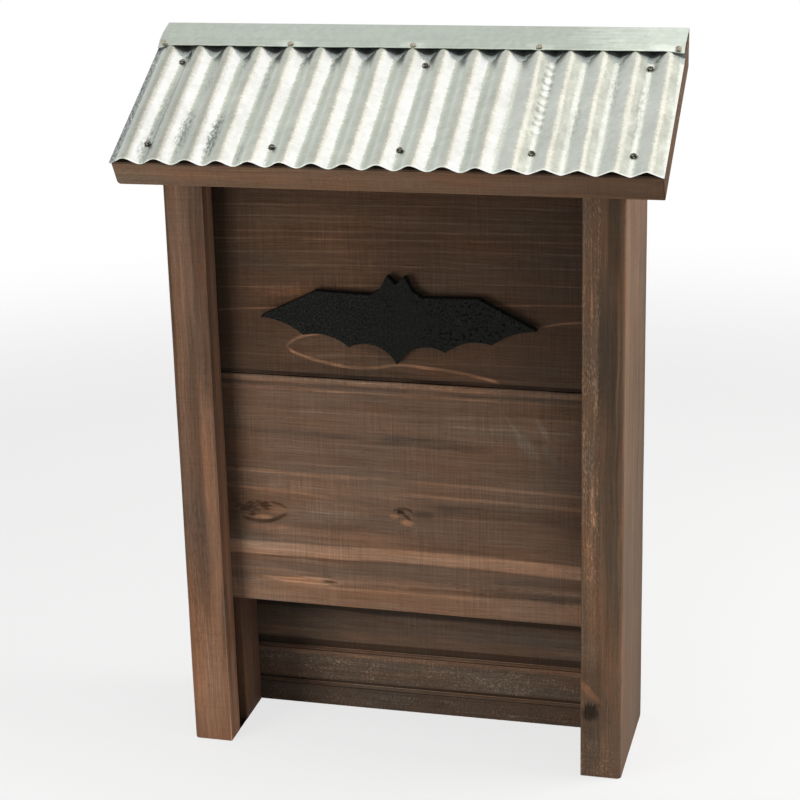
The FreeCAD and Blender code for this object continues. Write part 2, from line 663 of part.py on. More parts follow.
def check(pieces):
    """Stop before anything is written if an object failed or a piece's shape isn't sound."""
    for item in doc.Objects:
        if "Invalid" in item.State or "Error" in item.State:
            raise ValueError("%s failed: %s" % (item.Name, item.State))
    for piece in pieces:
        shape = piece.Shape
        if shape.isNull() or not shape.isValid() or not shape.Solids:
            raise ValueError(piece.Label + " has no sound shape")


def write(pieces):
    """Write each piece to its own file."""
    os.makedirs("parts", exist_ok=True)
    for piece in pieces:
        piece.Shape.exportStep("parts/%s.step" % piece.Label)
        box = piece.Shape.BoundBox
        print("%-20s %2d solid(s) %9.0f mm3  x %.1f..%.1f  y %.1f..%.1f  z %.1f..%.1f" % (
            piece.Label, len(piece.Shape.Solids), piece.Shape.Volume,
            box.XMin, box.XMax, box.YMin, box.YMax, box.ZMin, box.ZMax))


finished = build()
doc.recompute()
check(finished)
write(finished)
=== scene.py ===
"""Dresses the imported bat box: stained boards, galvanised roof, painted bat figure, nails and hanging strap.

Lengths in the classes are millimetres in the frame of the CAD model, +X right, +Y to the wall, +Z up,
and every mesh is written in metres. The roof pieces are laid out on the slope, as (across, along, rise),
from the front top corner of the side boards.
"""
import logging
import math
from dataclasses import dataclass
from enum import Enum
from typing import Callable, Iterable, Optional, Sequence, Union

import bmesh
import bpy
from mathutils import Matrix, Vector, noise


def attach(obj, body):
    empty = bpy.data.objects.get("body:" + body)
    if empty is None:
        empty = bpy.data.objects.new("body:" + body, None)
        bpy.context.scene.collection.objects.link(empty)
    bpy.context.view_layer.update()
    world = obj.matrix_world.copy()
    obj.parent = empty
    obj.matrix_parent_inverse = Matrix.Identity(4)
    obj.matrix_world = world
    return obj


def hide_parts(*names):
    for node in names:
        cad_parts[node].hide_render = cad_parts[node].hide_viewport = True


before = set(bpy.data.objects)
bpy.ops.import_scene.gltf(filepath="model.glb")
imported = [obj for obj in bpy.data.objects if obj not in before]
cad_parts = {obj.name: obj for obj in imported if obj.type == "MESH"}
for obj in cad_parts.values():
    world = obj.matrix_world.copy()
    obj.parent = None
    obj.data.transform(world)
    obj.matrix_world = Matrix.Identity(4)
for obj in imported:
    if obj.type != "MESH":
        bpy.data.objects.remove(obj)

log = logging.getLogger("bat_box")

MM = 0.001
PHOTO_SIDE = 800.0
SENSOR = 36.0
BODY = "root"
BOX = ((-161.5, 161.5), (-57.008, 57.017), (0.0, 445.91))

# The side boards' size and place, the planes of the front and back boards' faces, how far along
# a front board is seen, and a place beyond any board.
SIDE_DEPTH = 90.6
SIDE_HEIGHT = 371.5
FRONT = -33.583
REAR = FRONT + SIDE_DEPTH
FRONT_FACE = FRONT + 16.5
BACK_FACE = FRONT + 62.6
SEEN_END = 119.0
BEYOND = 1000.0

# The noise textures' roughness, and the factor that brings their spread to about 1.
NOISE_ROUGHNESS = 0.6
NOISE_SPREAD = 7.5

# Where the sheet's crisply folded waves begin across the roof, and the flashing's front edge up it.
CRISP_FROM = 62.0
FLASHING_FRONT = 89.2

Point = tuple[float, float]
Colour = tuple[float, float, float]
Key = Union[int, str]
Stop = tuple[float, int, int, int]
Row = tuple[float, float, float, float]
EditMesh = bmesh.types.BMesh
Item = bpy.types.Object
Material = bpy.types.Material
Mesh = bpy.types.Mesh


def stain(red: int, green: int, blue: int) -> Colour:
    """Turn a display colour from 0 to 255 into the linear colour that shaders use."""
    def linear(value: int) -> float:
        """Return the linear value of a display value."""
        share = value / 255
        return share / 12.92 if share <= 0.04045 else ((share + 0.055) / 1.055) ** 2.4
    return linear(red), linear(green), linear(blue)


# ---------------------------------------------------------------- node trees


class Wire:
    """An output of a node that can be used in sums like a number."""

    def __init__(self, desk: "Desk", socket: bpy.types.NodeSocket) -> None:
        """Keep the socket and the tree it belongs to."""
        self.desk = desk
        self.socket = socket

    def __add__(self, other: "Value") -> "Wire":
        """Add."""
        return self.desk.math("ADD", self, other)

    __radd__ = __add__

    def __sub__(self, other: "Value") -> "Wire":
        """Subtract."""
        return self.desk.math("SUBTRACT", self, other)

    def __rsub__(self, other: "Value") -> "Wire":
        """Subtract from a number."""
        return self.desk.math("SUBTRACT", other, self)

    def __mul__(self, other: "Value") -> "Wire":
        """Multiply."""
        return self.desk.math("MULTIPLY", self, other)

    __rmul__ = __mul__

    def __truediv__(self, other: "Value") -> "Wire":
        """Divide."""
        return self.desk.math("DIVIDE", self, other)

    def __abs__(self) -> "Wire":
        """Drop the sign."""
        return self.desk.math("ABSOLUTE", self)


Value = Union[float, Wire]
Tint = Union[Colour, Wire]
Place = tuple[Wire, Wire, Wire]


class Desk:
    """A node tree with short calls for the nodes that the finishes and the shapes use."""

    def __init__(self, tree: bpy.types.NodeTree) -> None:
        """Start on an empty tree."""
        self.tree = tree
        tree.nodes.clear()

    def node(self, kind: str, **settings: object) -> bpy.types.Node:
        """Add a node and set its options."""
        made = self.tree.nodes.new(kind)
        for name, value in settings.items():
            setattr(made, name, value)
        return made

    def plug(self, socket: bpy.types.NodeSocket, value: object) -> None:
        """Join a wire to an input, or set the input's own value.

        Args:
            socket: the input.
            value: a wire, a number, a vector or a colour.
        """
        if isinstance(value, Wire):
            self.tree.links.new(value.socket, socket)
            return
        size = getattr(socket.default_value, "__len__", None)
        if size and size() == 4 and len(value) == 3:
            value = (*value, 1.0)
        socket.default_value = value

    def ask(self, kind: str, given: dict[Key, object], output: Key = 0, **settings: object) -> Wire:
        """Add a node with its inputs and its options.

        Args:
            kind: the node's type.
            given: a wire or a value for each input, by its name or its place.
            output: the name or the place of the output.
            settings: the node's options.

        Returns:
            The output.
        """
        made = self.node(kind, **settings)
        for key, value in given.items():
            self.plug(made.inputs[key], value)
        return Wire(self, made.outputs[output])

    def math(self, operation: str, *values: Value, clamp: bool = False) -> Wire:
        """Add a sum of up to three values."""
        return self.ask("ShaderNodeMath", dict(enumerate(values)), operation=operation, use_clamp=clamp)

    def vector(self, x: Value, y: Value, z: Value) -> Wire:
        """Join three values to a vector."""
        return self.ask("ShaderNodeCombineXYZ", {0: x, 1: y, 2: z})

    def parts(self, vector: Wire) -> list[Wire]:
        """Split a vector into its three values."""
        made = self.node("ShaderNodeSeparateXYZ")
        self.plug(made.inputs[0], vector)
        return [Wire(self, socket) for socket in made.outputs]

    def sway(self, low: Value, high: Value, value: Value) -> Wire:
        """Rise smoothly from 0 at low to 1 at high; with low above high it falls."""
        return self.ask("ShaderNodeMapRange", {"Value": value, "From Min": low, "From Max": high},
                        interpolation_type="SMOOTHSTEP")

    def hill(self, value: Value, foot: float, top: float, brink: float, end: float) -> Wire:
        """Rise smoothly from 0 at the foot to 1 at the top, and fall again from the brink to the end."""
        return self.sway(foot, top, value) * self.sway(end, brink, value)

    def noise(self, vector: Wire, detail: float = 2.0, rough: float = 0.5) -> Wire:
        """Smooth noise from 0 to 1 with one bump for each unit of the vector."""
        return self.ask("ShaderNodeTexNoise", {"Vector": vector, "Scale": 1.0, "Detail": detail,
                                               "Roughness": rough, "Distortion": 0.0}, noise_dimensions="3D")

    def swell(self, x: Value, y: Value, z: Value, detail: float = 1.0) -> Wire:
        """Smooth noise about 0 with a spread of about 1."""
        return (self.noise(self.vector(x, y, z), detail, NOISE_ROUGHNESS) - 0.5) * NOISE_SPREAD


class Finish(Desk):
    """A material that is painted in the object's own place, in millimetres."""

    def __init__(self, name: str) -> None:
        """Start a material and its coordinates."""
        self.material = bpy.data.materials.new(name)
        self.material.use_nodes = True
        super().__init__(self.material.node_tree)
        place = self.ask("ShaderNodeTexCoord", {}, "Object")
        self.x, self.y, self.z = (part * (1 / MM) for part in self.parts(place))

    def cells(self, vector: Wire) -> Wire:
        """Random colours in cells, one for each unit of the vector."""
        return self.ask("ShaderNodeTexVoronoi", {"Vector": vector, "Scale": 1.0}, "Color",
                        voronoi_dimensions="3D", feature="F1")

    def mix(self, share: Value, first: Tint, second: Tint) -> Wire:
        """Blend two colours."""
        return self.ask("ShaderNodeMix", {0: share, 6: first, 7: second}, 2, data_type="RGBA")

    def gain(self, colour: Tint, stops: Value) -> Wire:
        """Make a colour lighter or darker by a number of stops."""
        strength = self.math("POWER", 2.0, stops)
        return self.ask("ShaderNodeVectorMath", {0: colour, "Scale": strength}, operation="SCALE")

    def waves(self, base: Wire, size: Sequence[float], detail: float = 1.0, shift: float = 0.0) -> Wire:
        """Smooth noise about 0 with a spread of about 1.

        Args:
            base: the place that the noise follows.
            size: the size of its bumps along the three directions of the place, in millimetres.
            detail: how many finer layers it has.
            shift: moves the noise, so that two of one size differ.

        Returns:
            The noise.
        """
        scale = [1.0 / length for length in size]
        moved = self.ask("ShaderNodeVectorMath", {0: base, 1: scale, 2: (shift, shift, shift)},
                         operation="MULTIPLY_ADD")
        bumps = self.noise(moved, detail, NOISE_ROUGHNESS)
        return self.math("MULTIPLY_ADD", bumps, NOISE_SPREAD, -NOISE_SPREAD / 2)

    def more(self, share: Wire, strength: float, total: Value) -> Value:
        """Add a share of a strength to a running total."""
        return self.math("MULTIPLY_ADD", share, strength, total) if strength else total

    def around(self, base: Wire, middle: Sequence[float], turn: float, size: Sequence[float]) -> Wire:
        """Turn a place into one that is measured from the middle of a turned ellipse.

        Args:
            base: the place.
            middle, turn, size: the ellipse's middle, turn in degrees and half sizes.

        Returns:
            The place, 1 from the middle on the rim.
        """
        turned_by = (0.0, 0.0, math.radians(turn))
        return self.ask("ShaderNodeMapping", {"Vector": base, "Location": middle, "Rotation": turned_by,
                                              "Scale": size}, vector_type="TEXTURE")

    def far(self, vector: Wire) -> Wire:
        """Return a vector's length."""
        return self.ask("ShaderNodeVectorMath", {0: vector}, "Value", operation="LENGTH")

    def reach(self, run: Wire, up: Wire) -> Wire:
        """Return the distance that two square steps give."""
        return self.math("SQRT", run * run + up * up)

    def route(self, value: Value, stops: Sequence[Point]) -> Wire:
        """Follow a smooth line through stops, or a straight one for three stops or fewer.

        Args:
            value: the place on the line.
            stops: places and heights, both from 0 to 1.

        Returns:
            The height.
        """
        made = self.node("ShaderNodeFloatCurve")
        self.plug(made.inputs["Value"], value)
        marks = made.mapping.curves[0].points
        while len(marks) < len(stops):
            marks.new(0.5, 0.5)
        for mark, stop in zip(marks, stops):
            mark.location = stop
            mark.handle_type = "AUTO" if len(stops) > 3 else "VECTOR"
        made.mapping.update()
        return Wire(self, made.outputs[0])

    def tints(self, value: Value, stops: Sequence[Stop]) -> Wire:
        """Follow a straight line through stops of place and display colour.

        Args:
            value: the place along the stops, from 0 to 1.
            stops: place, red, green and blue of each.

        Returns:
            The colour.
        """
        made = self.node("ShaderNodeValToRGB")
        self.plug(made.inputs[0], value)
        marks = made.color_ramp.elements
        while len(marks) < len(stops):
            marks.new(0.5)
        for mark, (place, *colour) in zip(marks, stops):
            mark.position = place
            mark.color = (*stain(*colour), 1)
        return Wire(self, made.outputs[0])

    def bump(self, height: Wire, depth: float) -> Wire:
        """Turn a height of 0 to 1 into relief of a depth in millimetres."""
        return self.ask("ShaderNodeBump", {"Strength": 1.0, "Distance": depth * MM, "Height": height})

    def shade(self, colour: Tint, roughness: Value, relief: Wire, metallic: float = 0.0,
              gloss: float = 0.5) -> Material:
        """Close the material with its shader.

        Args:
            colour, roughness, relief: the surface's own.
            metallic: 1 for metal.
            gloss: how strongly a bare surface mirrors.

        Returns:
            The material.
        """
        shader = self.ask("ShaderNodeBsdfPrincipled", {
            "Metallic": metallic, "Specular IOR Level": gloss, "Base Color": colour, "Roughness": roughness,
            "Normal": relief})
        self.plug(self.node("ShaderNodeOutputMaterial").inputs[0], shader)
        return self.material


# ---------------------------------------------------------------- wood


class Grain(Enum):
    """The way that a board's grain runs."""

    ACROSS = "across"
    UPRIGHT = "upright"
    ROOF = "roof"


@dataclass(frozen=True)
class Band:
    """A lighter or darker band of growth along the grain.

    Args:
        middle: its place across the board at the middle of its length.
        width: its width.
        tone: how much lighter it is, in stops.
        warm: how much redder it is.
        soft: the width of its edges.
        start, end: where it begins and ends along the grain.
        fade: how far to each side of its ends it fades.
    """

    middle: float
    width: float
    tone: float
    warm: float = 0
    soft: float = 2
    start: float = -BEYOND
    end: float = BEYOND
    fade: float = 14


@dataclass(frozen=True)
class Line:
    """A thin line of growth or shadow drawn through points.

    Args:
        points: places along the grain, in order, and across the board.
        width: the width of its full strength.
        tone: how much lighter it is, in stops.
        warm: how much redder it is.
        soft: the width of its edges.
        fade: how far from its ends it reaches full strength.
        broken: how much its strength wanders along it.
    """

    points: tuple[Point, ...]
    width: float
    tone: float
    warm: float = 0
    soft: float = 0.8
    fade: float = 6
    broken: float = 0.3


@dataclass(frozen=True)
class Rough:
    """A strip of torn or sawn surface with light flecks and dark pits.

    Args:
        low, high: its edges across the board.
        start, end: its ends along the grain.
        strength: of its flecks, in stops.
        long, short: the size of a fleck along the grain and across it.
        skew: how far the flecks lean.
    """

    low: float
    high: float
    strength: float
    start: float = -BEYOND
    end: float = BEYOND
    long: float = 1.6
    short: float = 1
    skew: float = 0


@dataclass(frozen=True)
class Spot:
    """A knot, a scuff or a stain, as a soft ellipse that may be turned.

    Args:
        along, across: its middle.
        length, height: its half sizes.
        tone: how much lighter it is, in stops.
        warm: how much redder it is.
        turn: its turn in degrees.
        push: how far the grain bends round it.
        soft: how soft its rim is, from 0 to 1.
        ragged: how uneven its rim is.
    """

    along: float
    across: float
    length: float
    height: float
    tone: float
    warm: float = 0
    turn: float = 0
    push: float = 0
    soft: float = 0.5
    ragged: float = 0.15


@dataclass(frozen=True)
class Marks:
    """What the features of a face add up to.

    Args:
        tone: how much lighter the face is, in stops.
        warm: how much redder it is.
        relief: how far it stands out.
    """

    tone: Value
    warm: Value
    relief: Value


@dataclass(frozen=True)
class Wood:
    """The look of one stained board; strengths are in stops of light.

    Args:
        name: the material's name.
        grain: the way the grain runs.
        cool, warm: the two stains that it varies between.
        redness: the share of the warm stain.
        pith: where the middle of the log lies, across and deep from the board's face.
        drift: how far that middle moves across and deep for each millimetre along the grain.
        spacing: the mean distance of the fine growth rings.
        fine: how strongly the fine rings show.
        streak, fibre, hatch: strength of the streaks, the fibres and the saw's cross lines.
        blotch: strength of the uneven stain.
        hair, pore: strength of the light hairlines and the dark pores.
        stipple: strength of the fine speckle.
        features: what the photograph shows at its place on the face.
        inner: the plane of the face that looks into the box, the side it looks to as 1 or -1, and the painted
            light and shade, in stops, of its front part and of the part behind the front boards.
        ends: how far along the grain the dark end grain begins, to both sides.
        grooves: bottom and top of each groove, which gets painted shade at its top and painted light on its ledge.
        face, face_depth: the plane of the visible face, and how far behind it the features end.
        relief: depth of the surface in millimetres.
        roughness: how dull the surface is, from 0 to 1.
    """

    name: str
    grain: Grain
    cool: Colour
    warm: Colour
    redness: float = 0.5
    pith: Point = (0, 40)
    drift: Point = (0, 0)
    spacing: float = 4
    fine: float = 0.10
    streak: float = 0.10
    fibre: float = 0.10
    hatch: float = 0.10
    blotch: float = 0.12
    hair: float = 0.3
    pore: float = 0.35
    stipple: float = 0.05
    features: tuple[Union[Band, Line, Rough, Spot], ...] = ()
    inner: Optional[tuple[float, int, float, float]] = None
    ends: Optional[float] = None
    grooves: tuple[Point, ...] = ()
    face: float = FRONT
    face_depth: float = 4
    relief: float = 0.045
    roughness: float = 0.74

    def places(self, paint: Finish) -> Place:
        """Return the place along the grain, across the face and into the wood."""
        if self.grain is Grain.ACROSS:
            return paint.x, paint.z, paint.y
        if self.grain is Grain.UPRIGHT:
            return paint.z, paint.x, paint.y
        across, along, rise = Slope().layout(paint)
        return across, rise, along

    def make(self) -> Material:
        """Build the material.

        Returns:
            The stained wood.
        """
        paint = Finish(self.name)
        along, across, deep = self.places(paint)
        place = paint.vector(along, across, deep)
        bend = paint.waves(place, (150, 60, 60), 0)
        ripple = paint.waves(place, (30, 18, 18), 0)
        lines = across + bend * 0.7 + ripple * 0.22
        marks, lines = self.marks(paint, place, along, across, lines)
        side = lines - self.pith[0] - along * self.drift[0]
        down = deep - self.pith[1] - along * self.drift[1]
        if self.grain is not Grain.ROOF:
            down = down - self.face
        glow = self.growth(paint, paint.reach(side, down))
        tone = self.hidden(paint, along, across, glow)
        on_face = paint.sway(self.face + self.face_depth, self.face + self.face_depth / 2, paint.y)
        tone = tone + on_face * marks.tone
        warm = on_face * marks.warm + self.redness
        streaks, texture, height = self.surface(paint, along, lines, deep, place)
        cloud = paint.waves(place, (55, 20, 20), 2)
        tint = paint.waves(place, (60, 16, 16), 1, 7)
        tone = tone + cloud * self.blotch + streaks * self.streak + texture
        warm = paint.math("ADD", tint * 0.12 - streaks * 0.05 - texture * 0.15, warm, clamp=True)
        colour = paint.gain(paint.mix(warm, self.cool, self.warm), tone)
        height = height + on_face * marks.relief
        return paint.shade(colour, self.roughness, paint.bump(height, self.relief), gloss=0.12)

    def marks(self, paint: Finish, place: Wire, along: Wire, across: Wire, lines: Wire) -> tuple["Marks", Wire]:
        """Draw the features.

        Args:
            paint: the material.
            place: along the grain, across the face and into the wood.
            along, across: the same as single values.
            lines: across the face, bent as the grain is.

        Returns:
            What they add up to, and the lines bent round the knots.
        """
        tone: Value = 0
        warm: Value = 0
        relief: Value = 0
        ragged = paint.waves(place, (5, 1.1, 9), 1)
        wander = paint.waves(place, (28, 6, 9), 1, 4)
        flat = paint.vector(along, across, 0)
        shaken = across + wander * 0.12
        for feature in self.features:
            if isinstance(feature, Rough):
                flecks = self.rough(paint, feature, place, along, across)
                tone = paint.more(flecks, feature.strength, tone)
                relief = paint.more(flecks, 1, relief)
                continue
            if isinstance(feature, Spot):
                share, lines = self.spot(paint, feature, flat, lines, ragged)
            elif isinstance(feature, Line):
                share = self.line(paint, feature, along, shaken, wander)
            else:
                share = self.band(paint, feature, along, lines)
            tone = paint.more(share, feature.tone + feature.warm * 0.45, tone)
            warm = paint.more(share, feature.warm * 0.5, warm)
        return Marks(tone, warm, relief), lines

    def hidden(self, paint: Finish, along: Wire, across: Wire, glow: Wire) -> Wire:
        """Return the tone of the rings and of the end grain, and the painted light and shade of faces inside the
        box or in a groove.

        Args:
            paint: the material.
            along, across: the place on the board.
            glow: the tone of the rings.

        Returns:
            The tone in stops.
        """
        tone = glow
        if self.ends:
            end = paint.sway(self.ends - 0.5, self.ends, abs(along))
            tone = tone + end * (glow * 7 - 0.55)
        for low, high in self.grooves:
            tone = tone + self.grip(paint, across, low, high)
        if self.inner:
            tone = self.inside(paint, along, tone)
        if self.grain is Grain.UPRIGHT:
            tone = tone + self.outside(paint, along, across)
        return tone

    def grip(self, paint: Finish, across: Wire, low: float, high: float) -> Wire:
        """Return the painted light on a grip groove's ledge and the painted shade under its top.

        Args:
            paint: the material.
            across: the place across the board.
            low, high: the groove's edges.

        Returns:
            The tone in stops.
        """
        inside = paint.hill(paint.y, self.face + 0.6, self.face + 1.6, self.face + 7, self.face + 8)
        inside = inside * paint.hill(across, low - 0.6, low - 0.1, high + 0.1, high + 0.6)
        ledge = paint.sway(low + 0.5, low + 0.2, across)
        above = paint.sway(low + 4.8, low + 5.8, across)
        return inside * (ledge * 2.9 + above * 1.15 - 0.8)

    def inside(self, paint: Finish, along: Wire, tone: Wire) -> Wire:
        """Paint light and shade on the face that looks into the box, with the painted shade darkest in the groove
        for the front boards.

        Args:
            paint: the material.
            along: the place along the board.
            tone: the tone so far.

        Returns:
            The shaded tone.
        """
        plane, hand, front, rear = self.inner
        seen = paint.sway(plane + hand * 0.7, plane + hand * 0.3, paint.x)
        deep = paint.sway(FRONT + 20, FRONT + 28, paint.y)
        # Painted light towards the bottom of the face and painted shade along its front edge.
        light = paint.sway(100, 20, along) * 0.85 - paint.sway(FRONT + 9.5, FRONT + 2.5, paint.y) * 0.8
        tone = tone + seen * (deep * (rear - front) + front + light)
        # Painted shade in the groove that holds the front boards.
        groove = paint.sway(3.8, 3.3, abs(paint.x - (plane + hand * 3.9)))
        groove = groove * paint.hill(paint.y, FRONT + 17, FRONT + 17.8, FRONT + 30.6, FRONT + 31.4)
        return tone - groove * paint.sway(4, 24, along) * (paint.sway(-12, -4, paint.y) * 0.5 + 0.6)

    def outside(self, paint: Finish, along: Wire, across: Wire) -> Wire:
        """Return the tone of a side board's outer face, weathered and darker to the rear and the top.

        Args:
            paint: the material.
            along, across: the place on the board.

        Returns:
            The tone in stops.
        """
        outer = paint.sway(136.6, 137.8, abs(across))
        weathered = paint.vector(along, paint.y, 0)
        worn = paint.waves(weathered, (150, 5.5, 1), 1, 5)
        hatch = paint.waves(weathered, (2.2, 60, 1), 1, 2)
        fall = paint.sway(6, 56, paint.y + worn * 3) * 0.36 - paint.sway(240, 371, along) * 0.14
        edge = paint.sway(-6, -30, paint.y) * (paint.sway(150, 230, along) * 0.35 + 0.12)
        return outer * (worn * 0.14 + hatch * 0.03 + edge - fall)

    def growth(self, paint: Finish, radius: Wire) -> Wire:
        """Return the tone of the growth rings at a radius round the pith."""
        turns = radius / self.spacing + paint.waves(paint.vector(radius, 0, 0), (14, 14, 14), 0) * 0.4
        saw = paint.math("FRACT", turns)
        thin = paint.sway(0.45, 0.9, saw) * paint.sway(1, 0.92, saw)
        uneven = paint.noise(paint.vector(paint.math("FLOOR", turns) * 3.7, 0.5, 0.5), 0)
        return (thin * uneven - 0.15) * (4 * self.fine)

    def surface(self, paint: Finish, along: Wire, lines: Wire, deep: Wire, place: Wire) -> Place:
        """Draw the streaks, the fine texture and the relief of the wood.

        Args:
            paint: the material.
            along, lines, deep: the place as the grain runs.
            place: the place as the saw ran.

        Returns:
            The streaks, the texture's tone and the surface's height.
        """
        grown = paint.vector(along, lines, deep)
        broad = paint.waves(grown, (240, 7, 7))
        middle = paint.waves(grown, (90, 1.9, 1.9))
        fibres = paint.waves(grown, (22, 0.75, 0.75))
        hair = paint.sway(1, 1.9, paint.waves(grown, (120, 0.9, 0.9), 0))
        pores = paint.sway(1.4, 2.2, paint.waves(grown, (4.5, 0.75, 0.75), 0))
        saw = paint.waves(place, (0.95, 26, 26))
        patchy = paint.sway(-1.2, 1.2, paint.waves(place, (34, 20, 20), 0))
        speck = paint.waves(place, (0.9, 0.55, 0.55), 2)
        hatching = saw * (patchy * 0.7 + 0.45)
        texture = (fibres * self.fibre + hatching * self.hatch + hair * self.hair - pores * self.pore
                   + speck * self.stipple)
        return broad + middle * 0.8, texture, fibres * 0.5 + hatching * 0.35 + middle * 0.3 + speck * 0.3 - pores

    def band(self, paint: Finish, band: Band, along: Wire, lines: Wire) -> Wire:
        """Return how far a place is in a band."""
        off = abs(lines - band.middle)
        share = paint.sway(band.width / 2 + band.soft / 2, band.width / 2 - band.soft / 2, off)
        return share * self.between(paint, along, band.start, band.end, band.fade)

    def between(self, paint: Finish, value: Wire, start: float, end: float, fade: float) -> Value:
        """Return how far a value is between two ends, either of which may be beyond the wood.

        Args:
            paint, value: the material and the value.
            start, end: the two ends.
            fade: how far to each side of an end it fades.

        Returns:
            A share from 0 to 1.
        """
        share: Value = 1
        if start > -BEYOND:
            share = paint.sway(start - fade, start + fade, value)
        if end < BEYOND:
            share = paint.sway(end + fade, end - fade, value) * share
        return share

    def line(self, paint: Finish, line: Line, along: Wire, across: Wire, wander: Wire) -> Wire:
        """Return how far a place is in a line.

        Args:
            paint, line: the material and the line.
            along, across: the place.
            wander: unevenness of the line's strength.

        Returns:
            A share from 0 to about 1.
        """
        start, end = line.points[0][0], line.points[-1][0]
        length = end - start
        low = min(height for _, height in line.points)
        span = max(height for _, height in line.points) - low + 1
        stops = [((at - start) / length, (height - low) / span) for at, height in line.points]
        reach = paint.math("MULTIPLY_ADD", along, 1 / length, -start / length)
        route = paint.math("MULTIPLY_ADD", paint.route(reach, stops), span, low)
        off = abs(across - route)
        share = paint.sway(line.width / 2 + line.soft, line.width / 2, off)
        half = line.fade / 2
        first = start + half if start > -SEEN_END else -BEYOND
        last = end - half if end < SEEN_END else BEYOND
        share = share * self.between(paint, along, first, last, half)
        return share * paint.math("MULTIPLY_ADD", wander, line.broken, 1)

    def rough(self, paint: Finish, rough: Rough, place: Wire, along: Wire, across: Wire) -> Wire:
        """Return the light flecks and dark pits of a rough strip."""
        leaning = paint.vector(paint.math("MULTIPLY_ADD", across, rough.skew, along), across, rough.low)
        torn = paint.waves(leaning, (rough.long, rough.short, 1), 3)
        patch = paint.waves(place, (14, 7, 7), 1, 3)
        flecks = paint.sway(0.2, 1.4, torn + patch * 0.3) - paint.sway(-0.4, -1.6, torn) * 0.7
        edge = patch * 0.7 + across
        inside = self.between(paint, edge, rough.low, rough.high, 1.2)
        return flecks * inside * self.between(paint, along, rough.start, rough.end, 8)

    def spot(self, paint: Finish, spot: Spot, flat: Wire, lines: Wire, ragged: Wire) -> tuple[Wire, Wire]:
        """Draw a spot and bend the grain round it.

        Args:
            paint, spot: the material and the spot.
            flat: the place on the face.
            lines: the place across the bent grain.
            ragged: unevenness of the rim.

        Returns:
            How far a place is in the spot, and the lines bent round it.
        """
        about = paint.around(flat, (spot.along, spot.across, 0), spot.turn, (spot.length, spot.height, 1))
        far = paint.far(about)
        share = paint.sway(1 + spot.soft, 1 - spot.soft, paint.math("MULTIPLY_ADD", ragged, spot.ragged, far))
        if spot.push:
            swirl = paint.math("EXPONENT", far * far * -0.35) * paint.parts(about)[1]
            lines = lines - swirl * spot.push
        return share, lines


# ---------------------------------------------------------------- roof slope and metal


@dataclass(frozen=True)
class Slope:
    """Where the roof's own layout lies."""

    degrees: float = 30
    foot: Point = (FRONT, SIDE_HEIGHT)

    @property
    def sine(self) -> float:
        """Sine of the slope."""
        return math.sin(math.radians(self.degrees))

    @property
    def cosine(self) -> float:
        """Cosine of the slope."""
        return math.cos(math.radians(self.degrees))

    def place(self, across: float, along: float, rise: float) -> Vector:
        """Turn a place on the slope into the frame, in metres."""
        return Vector((across, self.foot[0] + along * self.cosine - rise * self.sine,
                       self.foot[1] + along * self.sine + rise * self.cosine)) * MM

    def layout(self, paint: Finish) -> Place:
        """Return a finish's place across the roof, up the slope and above the boards."""
        out = paint.y - self.foot[0]
        up = paint.z - self.foot[1]
        return paint.x, out * self.cosine + up * self.sine, up * self.cosine - out * self.sine

    @property
    def up(self) -> Vector:
        """The direction square to the roof."""
        return Vector((0, -self.sine, self.cosine))


@dataclass(frozen=True)
class Zinc:
    """Galvanised sheet with spangle, rolling streaks and tarnish, here as the plain flashing.

    Args:
        name: the material's name.
        roughness: the mean roughness.
        bright, dull: the clean and the dulled metal.
        spangle, streak, cloud: strengths in stops of the zinc's crystals, the rolling and the dulling.
        nails: places of nails on the slope, with a painted highlight round each.
        front: where the flashing's front edge lies on the slope.
    """

    name: str
    roughness: float
    bright: Colour = stain(190, 196, 185)
    dull: Colour = stain(180, 188, 178)
    spangle: float = 0.05
    streak: float = 0.04
    cloud: float = 0.05
    nails: tuple[Point, ...] = ()
    front: float = FLASHING_FRONT

    def make(self) -> Material:
        """Build the material.

        Returns:
            The zinc coat.
        """
        paint = Finish(self.name)
        across, along, rise = Slope().layout(paint)
        spread = paint.noise(paint.vector(across / 6, along / 6, 0), 2)
        cells = paint.cells(paint.vector(across / 2.6 + spread, along / 4 + spread, rise / 9))
        spangle = (paint.parts(cells)[0] - 0.5) * 3.4
        cloud = paint.swell(across / 36, along / 12, rise / 12, 3)
        rolled = paint.swell(across / 70, along / 1.1, rise / 3, 2)
        tone = spangle * self.spangle + cloud * self.cloud + rolled * self.streak
        colour, tone, rough = self.weather_and_painted_light(paint, (across, along, rise), cloud, tone)
        grit = paint.swell(across / 0.7, along / 1.4, rise / 0.7)
        relief = paint.bump(cloud * 0.5 + rolled * 0.12 + grit * 0.1 + spangle * 0.1, 0.05)
        rough = paint.math("ADD", rough + spangle * 0.02, cloud * 0.02, clamp=True)
        return paint.shade(paint.gain(colour, tone), rough, relief, metallic=1)

    def weather_and_painted_light(self, paint: Finish, place: Place, cloud: Wire,
                tone: Wire) -> tuple[Wire, Wire, Value]:
        """Return the plain sheet's weathered colour, with painted highlights round its nails and on its front lip
        and a painted reflection that lightens its right end.

        Args:
            paint: the material.
            place: across the roof, up the slope and above the boards.
            cloud: the uneven dulling.
            tone: the tone so far, in stops.

        Returns:
            The colour, the tone and the roughness.
        """
        across, along, rise = place
        # A painted highlight round each nail.
        for x, s in self.nails:
            run = (across - x) / 9
            up = (along - s) / 3.6
            wobble = paint.swell(across / 5, along / 1.6, rise, 0) * 0.12
            tone = tone + paint.sway(1.25, 0.4, paint.reach(run, up) + wobble) * 0.3
        # A painted highlight on the front lip, and a painted reflection that makes the right end lighter.
        lip = paint.sway(self.front + 0.9, self.front + 0.3, along)
        worn = paint.sway(78, 142, across + paint.swell(across / 14, along / 3, rise) * 8)
        tone = tone + lip * 0.3 + worn * 0.55 - paint.sway(-90, -150, across) * 0.06
        share = paint.math("ADD", cloud * 0.18, 0.5, clamp=True)
        return paint.mix(share, self.bright, self.dull), tone, self.roughness


